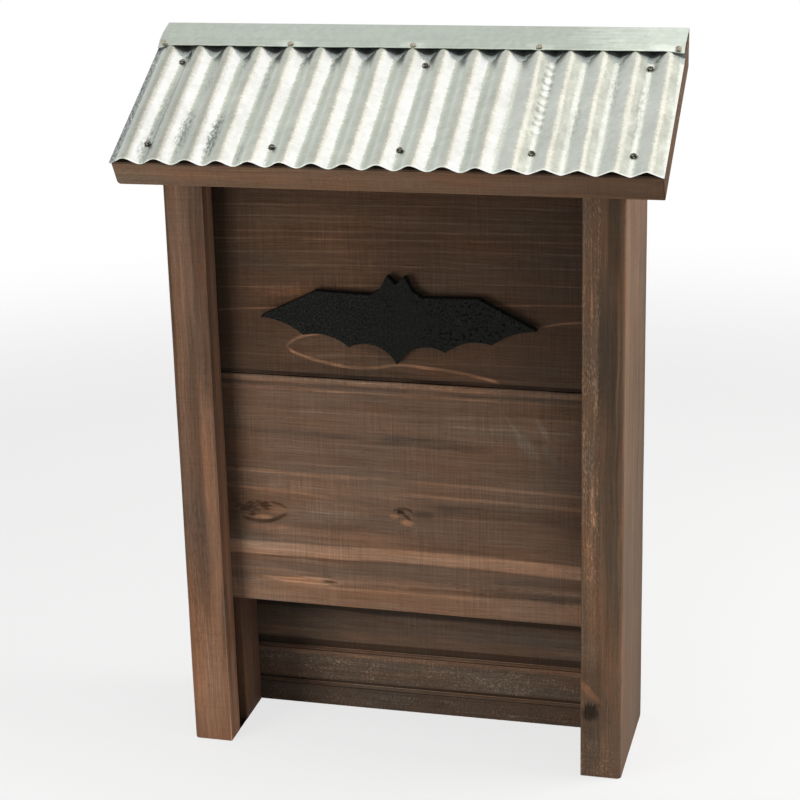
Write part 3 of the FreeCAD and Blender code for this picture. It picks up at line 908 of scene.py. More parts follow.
@dataclass(frozen=True)
class CorrugatedZinc(Zinc):
    """Galvanised sheet whose waves carry painted highlights and reflections on their right flanks and stay dull on
    their left ones.

    Args:
        wave: the distance of two troughs.
        shift: how many waves the middle of the roof lies from the sheet's left edge.
        crisp_from: where the folded waves begin.
        soft, crisp: display colours, with painted highlights and reflections, round one wave from a trough at 0
            past the crest at 0.5, on the rolled waves and on the crisply folded ones at the right.
        stains: middle across and up the slope, half width, half height and strength of each patch of
            tarnish.
        dent_row: left, right, lower and upper edge of the flank with the row of dents.
        bare, tarnished: colours of the wave ends in the flashing's painted shadow, where the painted highlights
            stop, and of the tarnish.
    """

    wave: float = 19
    shift: float = 8.5
    crisp_from: float = CRISP_FROM
    soft: tuple[Stop, ...] = (
        (0, 203, 207, 195), (0.035, 190, 195, 184), (0.1, 187, 192, 182), (0.2, 191, 197, 189),
        (0.27, 203, 208, 201), (0.33, 193, 199, 191), (0.42, 186, 189, 179), (0.52, 188, 190, 178),
        (0.56, 200, 200, 187), (0.6, 232, 229, 215), (0.64, 249, 246, 234), (0.7, 254, 253, 246),
        (0.83, 254, 255, 250), (0.915, 252, 253, 245), (0.94, 236, 239, 228), (0.962, 211, 214, 202),
        (1, 199, 203, 191))
    crisp: tuple[Stop, ...] = (
        (0, 250, 251, 241), (0.03, 246, 248, 238), (0.07, 220, 223, 213), (0.13, 199, 203, 194),
        (0.19, 194, 199, 191), (0.4, 196, 200, 193), (0.48, 196, 199, 189), (0.53, 208, 209, 197),
        (0.57, 240, 238, 224), (0.63, 250, 248, 233), (0.67, 236, 235, 220), (0.71, 219, 220, 206),
        (0.88, 220, 223, 209), (0.92, 240, 242, 231), (0.96, 250, 251, 241), (1, 250, 251, 241))
    stains: tuple[tuple[float, float, float, float, float], ...] = (
        (-122.5, 14, 4.6, 22, 0.9), (-103.5, 10, 4.2, 22, 1.5), (-140.5, 26, 4, 34, 0.5), (-143, 0, 4, 14, 0.6),
        (-119, 58, 2.6, 22, 0.5), (-84, 66, 2.4, 20, 0.45), (-101, 74, 2.5, 10, 0.8), (-84.5, -4, 2.2, 10, 0.6),
        (125, 62, 3, 26, 0.45), (-65, 80, 2.4, 9, 0.7), (-46, 78, 2.4, 10, 0.8), (-27, 82, 2.4, 8, 0.7),
        (106, 30, 3, 24, 0.35), (141, 40, 3, 30, 0.3))
    dent_row: Row = (81.8, 88.5, 18, 80)
    bare: Colour = stain(214, 221, 217)
    tarnished: Colour = stain(168, 180, 184)

    def weather_and_painted_light(self, paint: Finish, place: Place, cloud: Wire,
                tone: Wire) -> tuple[Wire, Wire, Value]:
        """Return the colour with its painted highlights and reflections, the tone with its painted shade, and the
        roughness round each wave.

        Args:
            paint: the material.
            place: across the roof, up the slope and above the boards.
            cloud: the uneven dulling.
            tone: the tone so far, in stops.

        Returns:
            The colour, the tone and the roughness.
        """
        across, along, _ = place
        wobble = paint.swell(across / 3, along / 30, 5, 2) * 0.012
        grain = paint.swell(across / 1.1, along / 2, 9) * 0.018
        lean = paint.swell(across / 26, along / 120, 3) * 0.02
        phase = paint.math("FRACT", across / self.wave + self.shift + wobble + grain + lean)
        number = paint.math("FLOOR", across / self.wave + self.shift)
        crisp = paint.sway(self.crisp_from, self.crisp_from + 10, across)
        patch = paint.swell(number * 5.3, along / 34, 2, 1)
        # The colour ramps paint the highlights and reflections round each wave.
        colour = paint.mix(crisp, paint.tints(phase, self.soft), paint.tints(phase, self.crisp))
        facet = paint.hill(phase, 0.64, 0.70, 0.88, 0.92) * crisp
        tone = tone + patch * 0.05 + facet * paint.swell(across / 6, along / 12, number, 3) * 0.17
        # Painted light and shade of the row of dents.
        tone = tone + self.dent_light_and_shade(paint, across, along)
        # Painted shade on parts of each wave towards the left end.
        early = paint.hill(phase, 0.42, 0.50, 0.62, 0.76)
        flat = paint.hill(phase, 0.16, 0.24, 0.42, 0.50)
        tone = tone - (early * 0.34 + flat * 0.18) * paint.sway(-88, -118, across)
        # Past the gable-shaped edge of the flashing's painted shadow the painted highlights give way to the bare
        # colour.
        outside_flashing_shade = paint.sway(0.4, -0.4, self.gable(paint, across, along, phase))
        colour = paint.mix(outside_flashing_shade, self.bare, colour)
        dulled = self.tarnish(paint, across, along, phase)
        colour = paint.mix(paint.math("MULTIPLY", dulled, 0.45, clamp=True), colour, self.tarnished)
        # Tarnish, and the painted shadow under the flashing with a painted highlight on the cut edge.
        tone = tone - dulled - self.flashing_shade_and_edge_light(paint, across, along, phase)
        return colour, tone, self.roughness + facet * 0.1 + (1 - outside_flashing_shade) * 0.3

    def tarnish(self, paint: Finish, across: Wire, along: Wire, phase: Wire) -> Wire:
        """Return how dark the mottled tarnish, the left edge and the score in the second trough are.

        Args:
            paint: the material.
            across, along: the place on the slope.
            phase: the place round a wave, from 0 to 1.

        Returns:
            The darkness in stops.
        """
        mottle = paint.swell(across / 1.3, along / 3.6, 3, 3)
        dark: Value = 0
        for x, s, wide, tall, strength in self.stains:
            run = (across - x) / wide
            up = (along - s) / tall
            share = paint.sway(1.2, 0.2, paint.reach(run, up) - mottle * 0.12)
            dark = dark + share * strength
        edge = paint.sway(-156.2, -158, across + mottle * 0.4)
        fine = paint.swell(across / 0.8, along / 1.6, 6, 2)
        rim = edge * (0.6 + paint.sway(-0.6, 0.9, mottle) * 1.1 - paint.sway(0.7, 1.4, fine) * 2)
        score = paint.sway(0.8, 0.3, abs(across + 139.6 - along * 0.012)) * 0.5
        valley = paint.sway(0.45, 0.15, phase) + paint.sway(0.8, 0.95, phase)
        everywhere = valley * paint.sway(0.7, 2, mottle) * 0.25
        pits = paint.sway(1.5, 2.1, fine) * 0.22
        return dark * paint.sway(-0.9, 0.9, mottle) + rim + score + everywhere + pits

    def dent_light_and_shade(self, paint: Finish, across: Wire, along: Wire) -> Wire:
        """Return the painted light and shade of the row of dents in one flank."""
        left, right, start, end = self.dent_row
        wander = paint.swell(along / 5, across / 9, 1)
        inside = paint.hill(across, left - 0.6, left + 0.8, right - 0.8, right + 0.6)
        inside = inside * paint.hill(along, start - 4, start + 4, end - 3, end + 3)
        swing = paint.math("SINE", (along + across * 0.5) * (2 * math.pi / 6.3) + wander * 0.9)
        return inside * (swing * 0.34 - 0.10)

    def gable(self, paint: Finish, across: Wire, along: Wire, phase: Wire) -> Wire:
        """Return how far up the slope a place lies past the gable-shaped edge of the flashing's painted shadow on
        a wave.
        """
        height = 0.5 - paint.math("COSINE", phase * (2 * math.pi)) * 0.5
        return along - (self.front - 6.5) - height * 6.8 + paint.swell(across / 1.6, along / 6, 4) * 0.3

    def flashing_shade_and_edge_light(self, paint: Finish, across: Wire, along: Wire, phase: Wire) -> Wire:
        """Return the painted shadow in the troughs where they run under the flashing, with scratches and dark
        strokes along its edge, and the painted highlights beside that edge and on the cut edge.

        Args:
            paint: the material.
            across, along: the place on the slope.
            phase: the place round a wave, from 0 to 1.

        Returns:
            The darkness in stops.
        """
        reach = self.gable(paint, across, along, phase)
        scratches = paint.swell(across / 0.9, along / 8, 4, 2)
        past = paint.sway(-0.4, 0.6, reach)
        # Painted shadow under the flashing, darkest in a line just under its edge.
        deep = paint.sway(self.front - 3.4, self.front - 1.2, along + scratches * 0.5)
        flank = paint.hill(phase, 0.12, 0.20, 0.40, 0.50)
        rim = paint.sway(-0.8, -0.1, reach) * paint.sway(1.8, 0.7, reach + scratches * 0.3) * flank
        # A painted highlight just short of the shadow's edge.
        shine = paint.hill(reach, -2, -1.4, -1, -0.4) * flank
        under = paint.sway(self.front - 1.7, self.front - 0.6, along)
        scratched = paint.sway(0.2, 1.6, scratches) * 0.3
        shade_and_smudges = past * (deep * 0.3 + under * 1.6 + scratched) + rim * 1.4 - shine * 0.3
        # A painted highlight on the sheet's front cut edge.
        return shade_and_smudges - paint.sway(-13.4, -14, along) * 0.6


@dataclass(frozen=True)
class Metalwork:
    """Plain metal of a fastener or the strap, with tarnish in patches."""

    name: str
    clean: Colour
    tarnish: Colour
    share: float
    roughness: float
    size: float = 1.2

    def make(self) -> Material:
        """Build the material."""
        paint = Finish(self.name)
        spots = paint.noise(paint.vector(paint.x / self.size, paint.y / self.size, paint.z / self.size), 3, 0.6)
        brushed = paint.noise(paint.vector(paint.x / 9, paint.y / 0.4, paint.z / 0.4), 2)
        share = paint.sway(1 - self.share - 0.15, 1 - self.share + 0.15, spots)
        colour = paint.gain(paint.mix(share, self.clean, self.tarnish), (brushed - 0.5) * 0.4)
        rough = paint.math("ADD", self.roughness, share * 0.2, clamp=True)
        return paint.shade(colour, rough, paint.bump(spots * 0.6 + brushed * 0.4, 0.05), metallic=0.9)


@dataclass(frozen=True)
class BlackPaint:
    """Matt black paint that has sunk into upright wood grain."""

    name: str = "bat_black_paint"
    colour: Colour = stain(29, 30, 28)
    worn: Colour = stain(52, 54, 52)

    def make(self) -> Material:
        """Build the material."""
        paint = Finish(self.name)
        grain = paint.swell(paint.x / 0.8, paint.z / 7, paint.y / 2, 3)
        speck = paint.swell(paint.x / 0.9, paint.z / 1.1, paint.y / 1, 3)
        pits = paint.swell(paint.x / 2 + grain * 0.2, paint.z / 1.7, 5, 2)
        ripe = paint.sway(-0.6, 0.9, paint.swell(paint.x / 20, paint.z / 16, 2)) * 0.5
        ripe = ripe + paint.sway(4, 34, paint.x) * 0.75
        pit = paint.sway(0.35, 1, pits) * ripe
        tone = grain * 0.2 + speck * (0.95 - paint.sway(-30, 10, paint.x) * 0.5) - pit * 1.9
        colour = paint.gain(paint.mix(paint.sway(0.6, 2.2, grain) * 0.25, self.colour, self.worn), tone)
        return paint.shade(colour, 0.7, paint.bump(grain * 0.25 + speck * 0.2 - pit * 0.8, 0.16), gloss=0.03)


# ---------------------------------------------------------------- meshes


def placed(x: float, y: float, z: float) -> Vector:
    """Return a place given in millimetres in the scene's metres."""
    return Vector((x, y, z)) * MM


def linked(name: str, data: Optional[bpy.types.ID]) -> Item:
    """Make an object of a mesh, a lamp or a camera and link it to the scene."""
    item = bpy.data.objects.new(name, data)
    bpy.context.scene.collection.objects.link(item)
    return item


def written(body: EditMesh, name: str = "mesh") -> Mesh:
    """Write a mesh that is edited to a new mesh."""
    mesh = bpy.data.meshes.new(name)
    body.to_mesh(mesh)
    body.free()
    return mesh


def piece_from(name: str, mesh: Mesh, finish: Material) -> Item:
    """Link a mesh to the scene as a piece at the origin."""
    mesh.name = name
    mesh.materials.clear()
    mesh.materials.append(finish)
    return linked(name, mesh)


def settle(piece: Item, slot: str, *nodes: str) -> Item:
    """Finish a piece: keep it in the whole's box, hang it on the body and hide the CAD pieces that it stands for.

    Args:
        piece: the piece.
        slot: its finish's slot; not used.
        nodes: the CAD pieces that it stands for.

    Returns:
        The piece.
    """
    for vertex in piece.data.vertices:
        vertex.co = [min(max(value, low * MM), high * MM) for value, (low, high) in zip(vertex.co, BOX)]
    piece.data.update()
    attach(piece, BODY)
    if nodes:
        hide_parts(*nodes)
    log.info("%-22s %6d faces", piece.name, len(piece.data.polygons))
    return piece


def eased(corners: Sequence[tuple[float, float, float]], steps: int = 2) -> list[Point]:
    """Round the corners of a closed outline.

    Args:
        corners: across, along and radius of each corner; a radius of 0 stays sharp.
        steps: faces round a small corner; a corner of 1 mm or more gets three times as many.

    Returns:
        The outline's points.
    """
    outline: list[Point] = []
    count = len(corners)
    for index, (u, v, radius) in enumerate(corners):
        here = Vector((u, v))
        if radius <= 0:
            outline.append((u, v))
            continue
        back = (Vector(corners[index - 1][:2]) - here).normalized()
        on = (Vector(corners[(index + 1) % count][:2]) - here).normalized()
        half = back.angle(on) / 2
        reach = radius / math.tan(half)
        centre = here + (back + on).normalized() * (radius / math.sin(half))
        first = here + back * reach - centre
        last = here + on * reach - centre
        faces = steps * 3 if radius >= 1 else steps
        if radius >= 1:
            outline.append(tuple(here + back * (reach + 0.4)))
        for step in range(faces + 1):
            spoke = first.normalized().slerp(last.normalized(), step / faces)
            outline.append(tuple(centre + spoke * radius))
        if radius >= 1:
            outline.append(tuple(here + on * (reach + 0.4)))
    return outline


def shrunk(outline: Sequence[Point], inset: float) -> list[Point]:
    """Move every side of a closed outline inwards, to ease the end of a board.

    Args:
        outline: its points.
        inset: how far, in millimetres.

    Returns:
        The moved points.
    """
    if not inset:
        return list(outline)
    count = len(outline)
    area = sum(a[0] * b[1] - b[0] * a[1] for a, b in zip(outline, outline[1:] + outline[:1]))
    hand = 1 if area > 0 else -1
    moved = []
    for index, corner in enumerate(outline):
        here = Vector(corner)
        back = (here - Vector(outline[index - 1])).normalized()
        on = (Vector(outline[(index + 1) % count]) - here).normalized()
        square = Vector((-on.y, on.x))
        aside = Vector((-back.y - on.y, back.x + on.x)) * hand
        if aside.length < 1e-6:
            aside = square * hand
        aside.normalize()
        moved.append(tuple(here + aside * inset / max(0.5, abs(aside.dot(square)))))
    return moved


def prism(outline: Sequence[Point], stations: Sequence[Point],
          place: Callable[[float, float, float], Vector], crease: float = 25.0) -> Mesh:
    """Draw an outline along a line and close its ends.

    Args:
        outline: the section's points.
        stations: how far along each ring lies, and how far its outline is drawn in.
        place: turns a section point and a distance along into a place in metres.
        crease: the angle in degrees from which an edge stays sharp.

    Returns:
        A closed mesh with its faces outwards.
    """
    body = bmesh.new()
    rings = []
    for distance, inset in stations:
        section = shrunk(outline, inset)
        rings.append([body.verts.new(place(u, v, distance)) for u, v in section])
    count = len(outline)
    for low, high in zip(rings[:-1], rings[1:]):
        for index in range(count):
            follow = (index + 1) % count
            body.faces.new((low[index], low[follow], high[follow], high[index]))
    body.faces.new(list(reversed(rings[0])))
    body.faces.new(rings[-1])
    return closed(body, crease)


def closed(body: EditMesh, crease: float) -> Mesh:
    """Turn the faces outwards, keep edges over the crease sharp and write the mesh."""
    bmesh.ops.recalc_face_normals(body, faces=body.faces)
    limit = math.radians(crease)
    for edge in body.edges:
        edge.smooth = len(edge.link_faces) == 2 and edge.calc_face_angle(0) < limit
    for face in body.faces:
        face.smooth = True
    return written(body)


def stations(start: float, end: float, step: float, ease: float) -> list[Point]:
    """Set out the rings of a board that is drawn along a line.

    Args:
        start, end: its ends.
        step: the distance of two rings.
        ease: how far its ends' edges are eased.

    Returns:
        How far along each ring lies, and how far its outline is drawn in.
    """
    count = max(1, round((end - start) / step))
    inner = [(start + ease + (end - start - 2 * ease) * index / count, 0.0) for index in range(count + 1)]
    bevel = [(start, ease), (start + ease * 0.3, ease * 0.3)]
    return bevel + inner + [(end - ease * 0.3, ease * 0.3), (end, ease)]


def wavering(piece: Item, amount: float, length: float, seed: float,
             hold: Optional[Callable[[Vector], float]] = None) -> None:
    """Move a board's skin by smooth noise so that its edges aren't ruled lines.

    Args:
        piece: the board.
        amount: the largest move in millimetres.
        length: the length of a wave in millimetres.
        seed: shifts the noise.
        hold: returns for a place how freely it moves, from 0 to 1.
    """
    for vertex in piece.data.vertices:
        at = vertex.co / (length * MM) + Vector((seed, seed * 0.7, seed * 1.3))
        push = Vector((noise.noise(at), noise.noise(at + Vector((9, 0, 0))), noise.noise(at + Vector((0, 9, 0)))))
        free = hold(vertex.co) if hold else 1.0
        vertex.co += push * (amount * MM * free)
    piece.data.update()


def cut_out(piece: Item, low: Sequence[float], high: Sequence[float]) -> None:
    """Cut a box out of a piece.

    Args:
        piece: the piece.
        low, high: the box's corners in millimetres.
    """
    body = bmesh.new()
    bmesh.ops.create_cube(body, size=1.0)
    middle = (Vector(low) + Vector(high)) / 2 * MM
    size = (Vector(high) - Vector(low)) * MM
    bmesh.ops.transform(body, matrix=Matrix.Translation(middle) @ Matrix.Diagonal((*size, 1)), verts=body.verts)
    tool = linked("cutter", written(body))
    change = piece.modifiers.new("rebate", "BOOLEAN")
    change.object = tool
    change.operation = "DIFFERENCE"
    change.solver = "EXACT"
    bake(piece)
    bpy.data.objects.remove(tool)


def bake(piece: Item) -> None:
    """Turn what a piece's modifiers give into its plain mesh."""
    graph = bpy.context.evaluated_depsgraph_get()
    graph.update()
    whole = piece.evaluated_get(graph)
    mesh = bpy.data.meshes.new_from_object(whole, preserve_all_data_layers=True, depsgraph=graph)
    piece.modifiers.clear()
    piece.data = mesh


# ---------------------------------------------------------------- shapes by rule


class ShapeTree(Desk):
    """A Geometry Nodes tree with named inputs."""

    def __init__(self, name: str) -> None:
        """Start an empty tree with a geometry in and out."""
        super().__init__(bpy.data.node_groups.new(name, "GeometryNodeTree"))
        self.sockets: dict[str, str] = {}
        self.tree.interface.new_socket("Geometry", in_out="INPUT", socket_type="NodeSocketGeometry")
        self.tree.interface.new_socket("Geometry", in_out="OUTPUT", socket_type="NodeSocketGeometry")
        self.entry = self.node("NodeGroupInput")

    def input(self, name: str, kind: str = "Float") -> Wire:
        """Add a named input and return its wire."""
        socket = self.tree.interface.new_socket(name, in_out="INPUT", socket_type="NodeSocket" + kind)
        self.sockets[name] = socket.identifier
        return Wire(self, self.entry.outputs[name])

    def close(self, geometry: Wire, finish: Wire) -> None:
        """End the tree with real geometry and its material."""
        real = self.ask("GeometryNodeRealizeInstances", {0: geometry})
        coat = self.ask("GeometryNodeSetMaterial", {"Geometry": real, "Material": finish})
        self.plug(self.node("NodeGroupOutput").inputs[0], coat)

    def run(self, piece: Item, **values: object) -> None:
        """Run the tree on a piece and keep the result as its plain mesh.

        Args:
            piece: the object that the tree starts from.
            values: a value for each named input, with underscores for spaces.
        """
        change = piece.modifiers.new(self.tree.name, "NODES")
        change.node_group = self.tree
        for name, value in values.items():
            change[self.sockets[name.replace("_", " ")]] = value
        bake(piece)


def corrugation_tree() -> ShapeTree:
    """Build the tree that draws a corrugated surface on a flat grid.

    Returns:
        The tree; its grid lies in the XY plane with the waves across X.
    """
    tree = ShapeTree("corrugation")
    wide, deep = tree.input("Width"), tree.input("Length")
    pitch, height = tree.input("Pitch"), tree.input("Height")
    across, along = tree.input("Across Steps", "Int"), tree.input("Along Steps", "Int")
    crisp_from, uneven = tree.input("Crisp From"), tree.input("Unevenness")
    finish = tree.input("Finish", "Material")
    grid = tree.ask("GeometryNodeMeshGrid", {"Size X": wide, "Size Y": deep, "Vertices X": across,
                                             "Vertices Y": along}, "Mesh")
    x, y, _ = tree.parts(tree.ask("GeometryNodeInputPosition", {}))
    jitter = tree.noise(tree.vector(x / pitch * 0.7, y / pitch * 0.12, 3.0), 1.0)
    turn = (x / pitch + (jitter - 0.5) * uneven) * (2 * math.pi)
    rolled = tree.math("COSINE", turn)
    folded = tree.math("ARCSINE", rolled * 0.97) / math.asin(0.97)
    crisp = tree.sway(crisp_from - pitch, crisp_from + pitch, x)
    shape = rolled * (1.0 - crisp) + folded * crisp
    level = tree.noise(tree.vector(x / pitch * 0.35, y / pitch * 0.2, 7.0), 2.0)
    lift = shape * height * 0.5 * (1.0 + (level - 0.5) * uneven * 2.0)
    offset = tree.vector(0.0, 0.0, lift)
    tree.close(tree.ask("GeometryNodeSetPosition", {"Geometry": grid, "Offset": offset}), finish)
    return tree


def fastener_tree() -> ShapeTree:
    """Build the tree that drives one fastener at every point of a mesh.

    Returns:
        The tree; each copy is spun by chance about the drive direction and leans a little.
    """
    tree = ShapeTree("fasteners")
    pattern = tree.input("Fastener", "Object")
    drive = tree.input("Outwards", "Vector")
    lean = tree.input("Lean")
    seed = tree.input("Seed", "Int")
    finish = tree.input("Finish", "Material")
    shape = tree.ask("GeometryNodeObjectInfo", {"Object": pattern}, "Geometry", transform_space="ORIGINAL")
    aim = tree.ask("FunctionNodeAlignRotationToVector", {"Vector": drive}, axis="Z")
    chance = tree.ask("FunctionNodeRandomValue", {"Seed": seed}, data_type="FLOAT_VECTOR")
    most = tree.vector(lean, lean, 2 * math.pi)
    turn = tree.ask("ShaderNodeVectorMath", {0: chance, 1: most}, operation="MULTIPLY")
    spin = tree.ask("FunctionNodeRotateRotation", {0: aim, 1: turn}, rotation_space="LOCAL")
    points = tree.ask("GeometryNodeMeshToPoints", {0: Wire(tree, tree.entry.outputs["Geometry"])})
    copies = tree.ask("GeometryNodeInstanceOnPoints", {"Points": points, "Instance": shape, "Rotation": spin})
    tree.close(copies, finish)
    return tree


def turned(profile: Sequence[Point], sides: int = 20) -> EditMesh:
    """Turn a profile about the Z axis.

    Args:
        profile: radius and height from the lowest point to the highest.
        sides: faces round it.

    Returns:
        The mesh, to be edited further.
    """
    body = bmesh.new()
    rings = []
    for radius, height in profile:
        if radius == 0:
            rings.append([body.verts.new(placed(0, 0, height))])
            continue
        angles = [2 * math.pi * side / sides for side in range(sides)]
        rings.append([body.verts.new(placed(radius * math.cos(a), radius * math.sin(a), height)) for a in angles])
    for low, high in zip(rings[:-1], rings[1:]):
        for side in range(sides):
            follow = (side + 1) % sides
            loop = (low[side % len(low)], low[follow % len(low)], high[follow % len(high)], high[side % len(high)])
            body.faces.new(list(dict.fromkeys(loop)))
    return body


# ---------------------------------------------------------------- sub-assemblies


@dataclass
class Boards:
    """The wooden boards of the box."""

    half_width: float = 138
    side_thickness: float = 25
    side_depth: float = SIDE_DEPTH
    side_height: float = SIDE_HEIGHT
    edge_radius: float = 3
    lip: float = 16.5
    groove: float = 6.4
    board: float = 14.6
    chamber: float = 31.5
    play: float = 0.3
    entry: float = 92
    seam: float = 243.3
    seam_gap: float = 0.5
    seam_drop: float = 0.3
    seam_fall: float = 0.007
    foot_lift: float = 0.8
    foot_fall: float = 0.005
    back_step: float = 151
    grips: tuple[Point, ...] = ((39, 9.5), (13.6, 4.9))
    grip_depth: float = 5.5
    strap_rebate: tuple[float, float, float] = (133.1, 287.9, 316.1)
    strap_thickness: float = 1.5
    ease: float = 0.5
    step: float = 7
    side_waver: Point = (0.22, 60)
    board_waver: Point = (0.18, 70)

    def roof_line(self, y: float) -> float:
        """Height of the roof board's underside at a depth."""
        return self.side_height + (y - FRONT) * math.tan(math.radians(Slope().degrees))

    def side(self, name: str, node: str, hand: int, finish: Material) -> None:
        """Build a side board with its two grooves.

        Args:
            name, node: the piece and the CAD piece that it stands for.
            hand: -1 for the left board, 1 for the right.
            finish: its material.
        """
        inner = self.half_width - self.side_thickness
        deep = inner + self.groove
        front, rear = FRONT, FRONT + self.side_depth
        first = front + self.lip
        second = first + self.board + self.play
        third = first + self.board + self.chamber - self.play
        fourth = first + 2 * self.board + self.chamber
        corners = [(self.half_width, front, self.edge_radius), (self.half_width, rear, self.edge_radius),
                   (inner, rear, self.ease), (inner, fourth, self.ease / 2), (deep, fourth, 0), (deep, third, 0),
                   (inner, third, self.ease / 2), (inner, second, self.ease / 2), (deep, second, 0),
                   (deep, first, 0), (inner, first, self.ease / 2), (inner, front, self.ease)]
        outline = eased([(hand * u, v, radius) for u, v, radius in corners])

        def place(u: float, v: float, share: float) -> Vector:
            """Return a place on the board, cut off at the slope of the roof."""
            return placed(u, v, share * self.roof_line(v))

        top = self.side_height
        rings = [(distance / top, inset) for distance, inset in stations(0, top, self.step, self.ease)]
        piece = piece_from(name, prism(outline, rings, place), finish)
        reach, low, high = self.strap_rebate
        edges = sorted((hand * (inner - 5), hand * reach))
        cut_out(piece, (edges[0], rear - self.strap_thickness, low), (edges[1], rear + 5, high))
        wavering(piece, *self.side_waver, 3 + hand)
        settle(piece, "side_wood", node)

    def across(self, name: str, node: str, slot: str, front: float, low: float, high: Optional[float],
               finish: Material, grips: Iterable[Point] = (), seed: float = 0,
               sawn: Optional[Callable[[float, float], float]] = None) -> None:
        """Build a front or back board; one without a top runs up to the roof.

        Args:
            name, node, slot: the piece, the CAD piece that it stands for and its finish's slot.
            front: where its front face lies.
            low, high: its bottom and top edge.
            finish: its material.
            grips: bottom and width of each groove in its front face.
            seed: shifts the unevenness of its skin.
            sawn: returns how far an edge is out of true, for a place along the board and up it.
        """
        rear = front + self.board
        ease = self.ease
        gap = self.play / Slope().cosine
        tops = (high, high) if high else (self.roof_line(front) - gap, self.roof_line(rear) - gap)
        corners = [(rear, low, ease), (rear, tops[1], ease), (front, tops[0], ease)]
        for bottom, width in grips:
            corners += [(front, bottom + width, ease / 2), (front + self.grip_depth, bottom + width, 0),
                        (front + self.grip_depth, bottom, 0), (front, bottom, ease / 2)]
        corners.append((front, low, ease))
        half = self.half_width - self.side_thickness + self.groove - self.play

        def place(u: float, v: float, along: float) -> Vector:
            """Return a place on the board, with its sawn edges."""
            return placed(along, u, v + (sawn(along, v) if sawn else 0))

        mesh = prism(eased(corners), stations(-half, half, self.step, ease), place)
        piece = piece_from(name, mesh, finish)
        wavering(piece, *self.board_waver, seed)
        settle(piece, slot, node)

    def build(self) -> None:
        """Build all boards of the box."""
        self.side("left_side_board", "left_side", -1, LEFT_WOOD.make())
        self.side("right_side_board", "right_side", 1, RIGHT_WOOD.make())
        front = FRONT + self.lip
        middle = (self.entry + self.seam) / 2

        def off(along: float, height: float) -> float:
            """Return how far a front board's edge is off its straight line."""
            if height < middle:
                return self.foot_lift - along * self.foot_fall
            return -self.seam_drop - along * self.seam_fall if height < self.seam + 5 else 0

        self.across("lower_front_board", "front_board_lower", "front_wood", front, self.entry,
                    self.seam - self.seam_gap / 2, LOWER_WOOD.make(), seed=1, sawn=off)
        self.across("upper_front_board", "front_board_upper", "front_wood", front,
                    self.seam + self.seam_gap / 2, None, UPPER_WOOD.make(), seed=2, sawn=off)
        back = front + self.board + self.chamber
        step = self.back_step
        self.across("lower_back_board", "back_board_lower", "back_wood", back, 0, step, BACK_WOOD.make(),
                    self.grips, seed=4)
        plain = PLAIN_BACK_WOOD.make()
        self.across("middle_back_board", "back_board_middle", "back_wood", back, step, 2 * step, plain, seed=5)
        self.across("upper_back_board", "back_board_upper", "back_wood", back, 2 * step, None, plain, seed=6)


@dataclass
class RoofBoard:
    """The roof board, square at its front and plumb at its rear."""

    half_width: float = 161
    eave: float = 12.8
    thickness: float = 17.5
    rear_low: float = 103.461
    rear_high: float = 113.565
    corner_radius: float = 3
    ease: float = 0.5
    step: float = 7
    waver: tuple[float, float, float] = (0.18, 80, 8)

    def build(self) -> None:
        """Build the roof board."""
        slope = Slope()
        half = self.half_width
        radius = self.corner_radius
        lean = (self.rear_high - self.rear_low) / self.thickness
        ribs = [radius * share for share in (0.4, 0.7, 1)]
        corners = [(-self.eave, 0, self.ease), (self.rear_low, 0, self.ease)]
        corners += [(self.rear_low + rise * lean, rise, 0) for rise in ribs]
        corners += [(self.rear_high, self.thickness, self.ease), (-self.eave, self.thickness, self.ease)]
        corners += [(-self.eave, rise, 0) for rise in reversed(ribs)]
        outline = eased(corners)

        def place(u: float, v: float, along: float) -> Vector:
            """Return a place in the board, laid on the slope."""
            return slope.place(along, u, v)

        rings = stations(-half, half, self.step, self.ease)
        rings[3:3] = [(radius * share - half, 0) for share in (0.35, 0.65, 1)]
        piece = piece_from("roof_plank", prism(outline, rings, place), ROOF_WOOD.make())
        for vertex in piece.data.vertices:
            rise = (vertex.co - slope.place(0, 0, 0)).dot(slope.up) / MM
            if rise < radius:
                need = radius - math.sqrt(max(0, radius ** 2 - (radius - max(0, rise)) ** 2))
                vertex.co.x = max(vertex.co.x, (need - half) * MM)
        wavering(piece, *self.waver)
        settle(piece, "roof_wood", "roof_board")


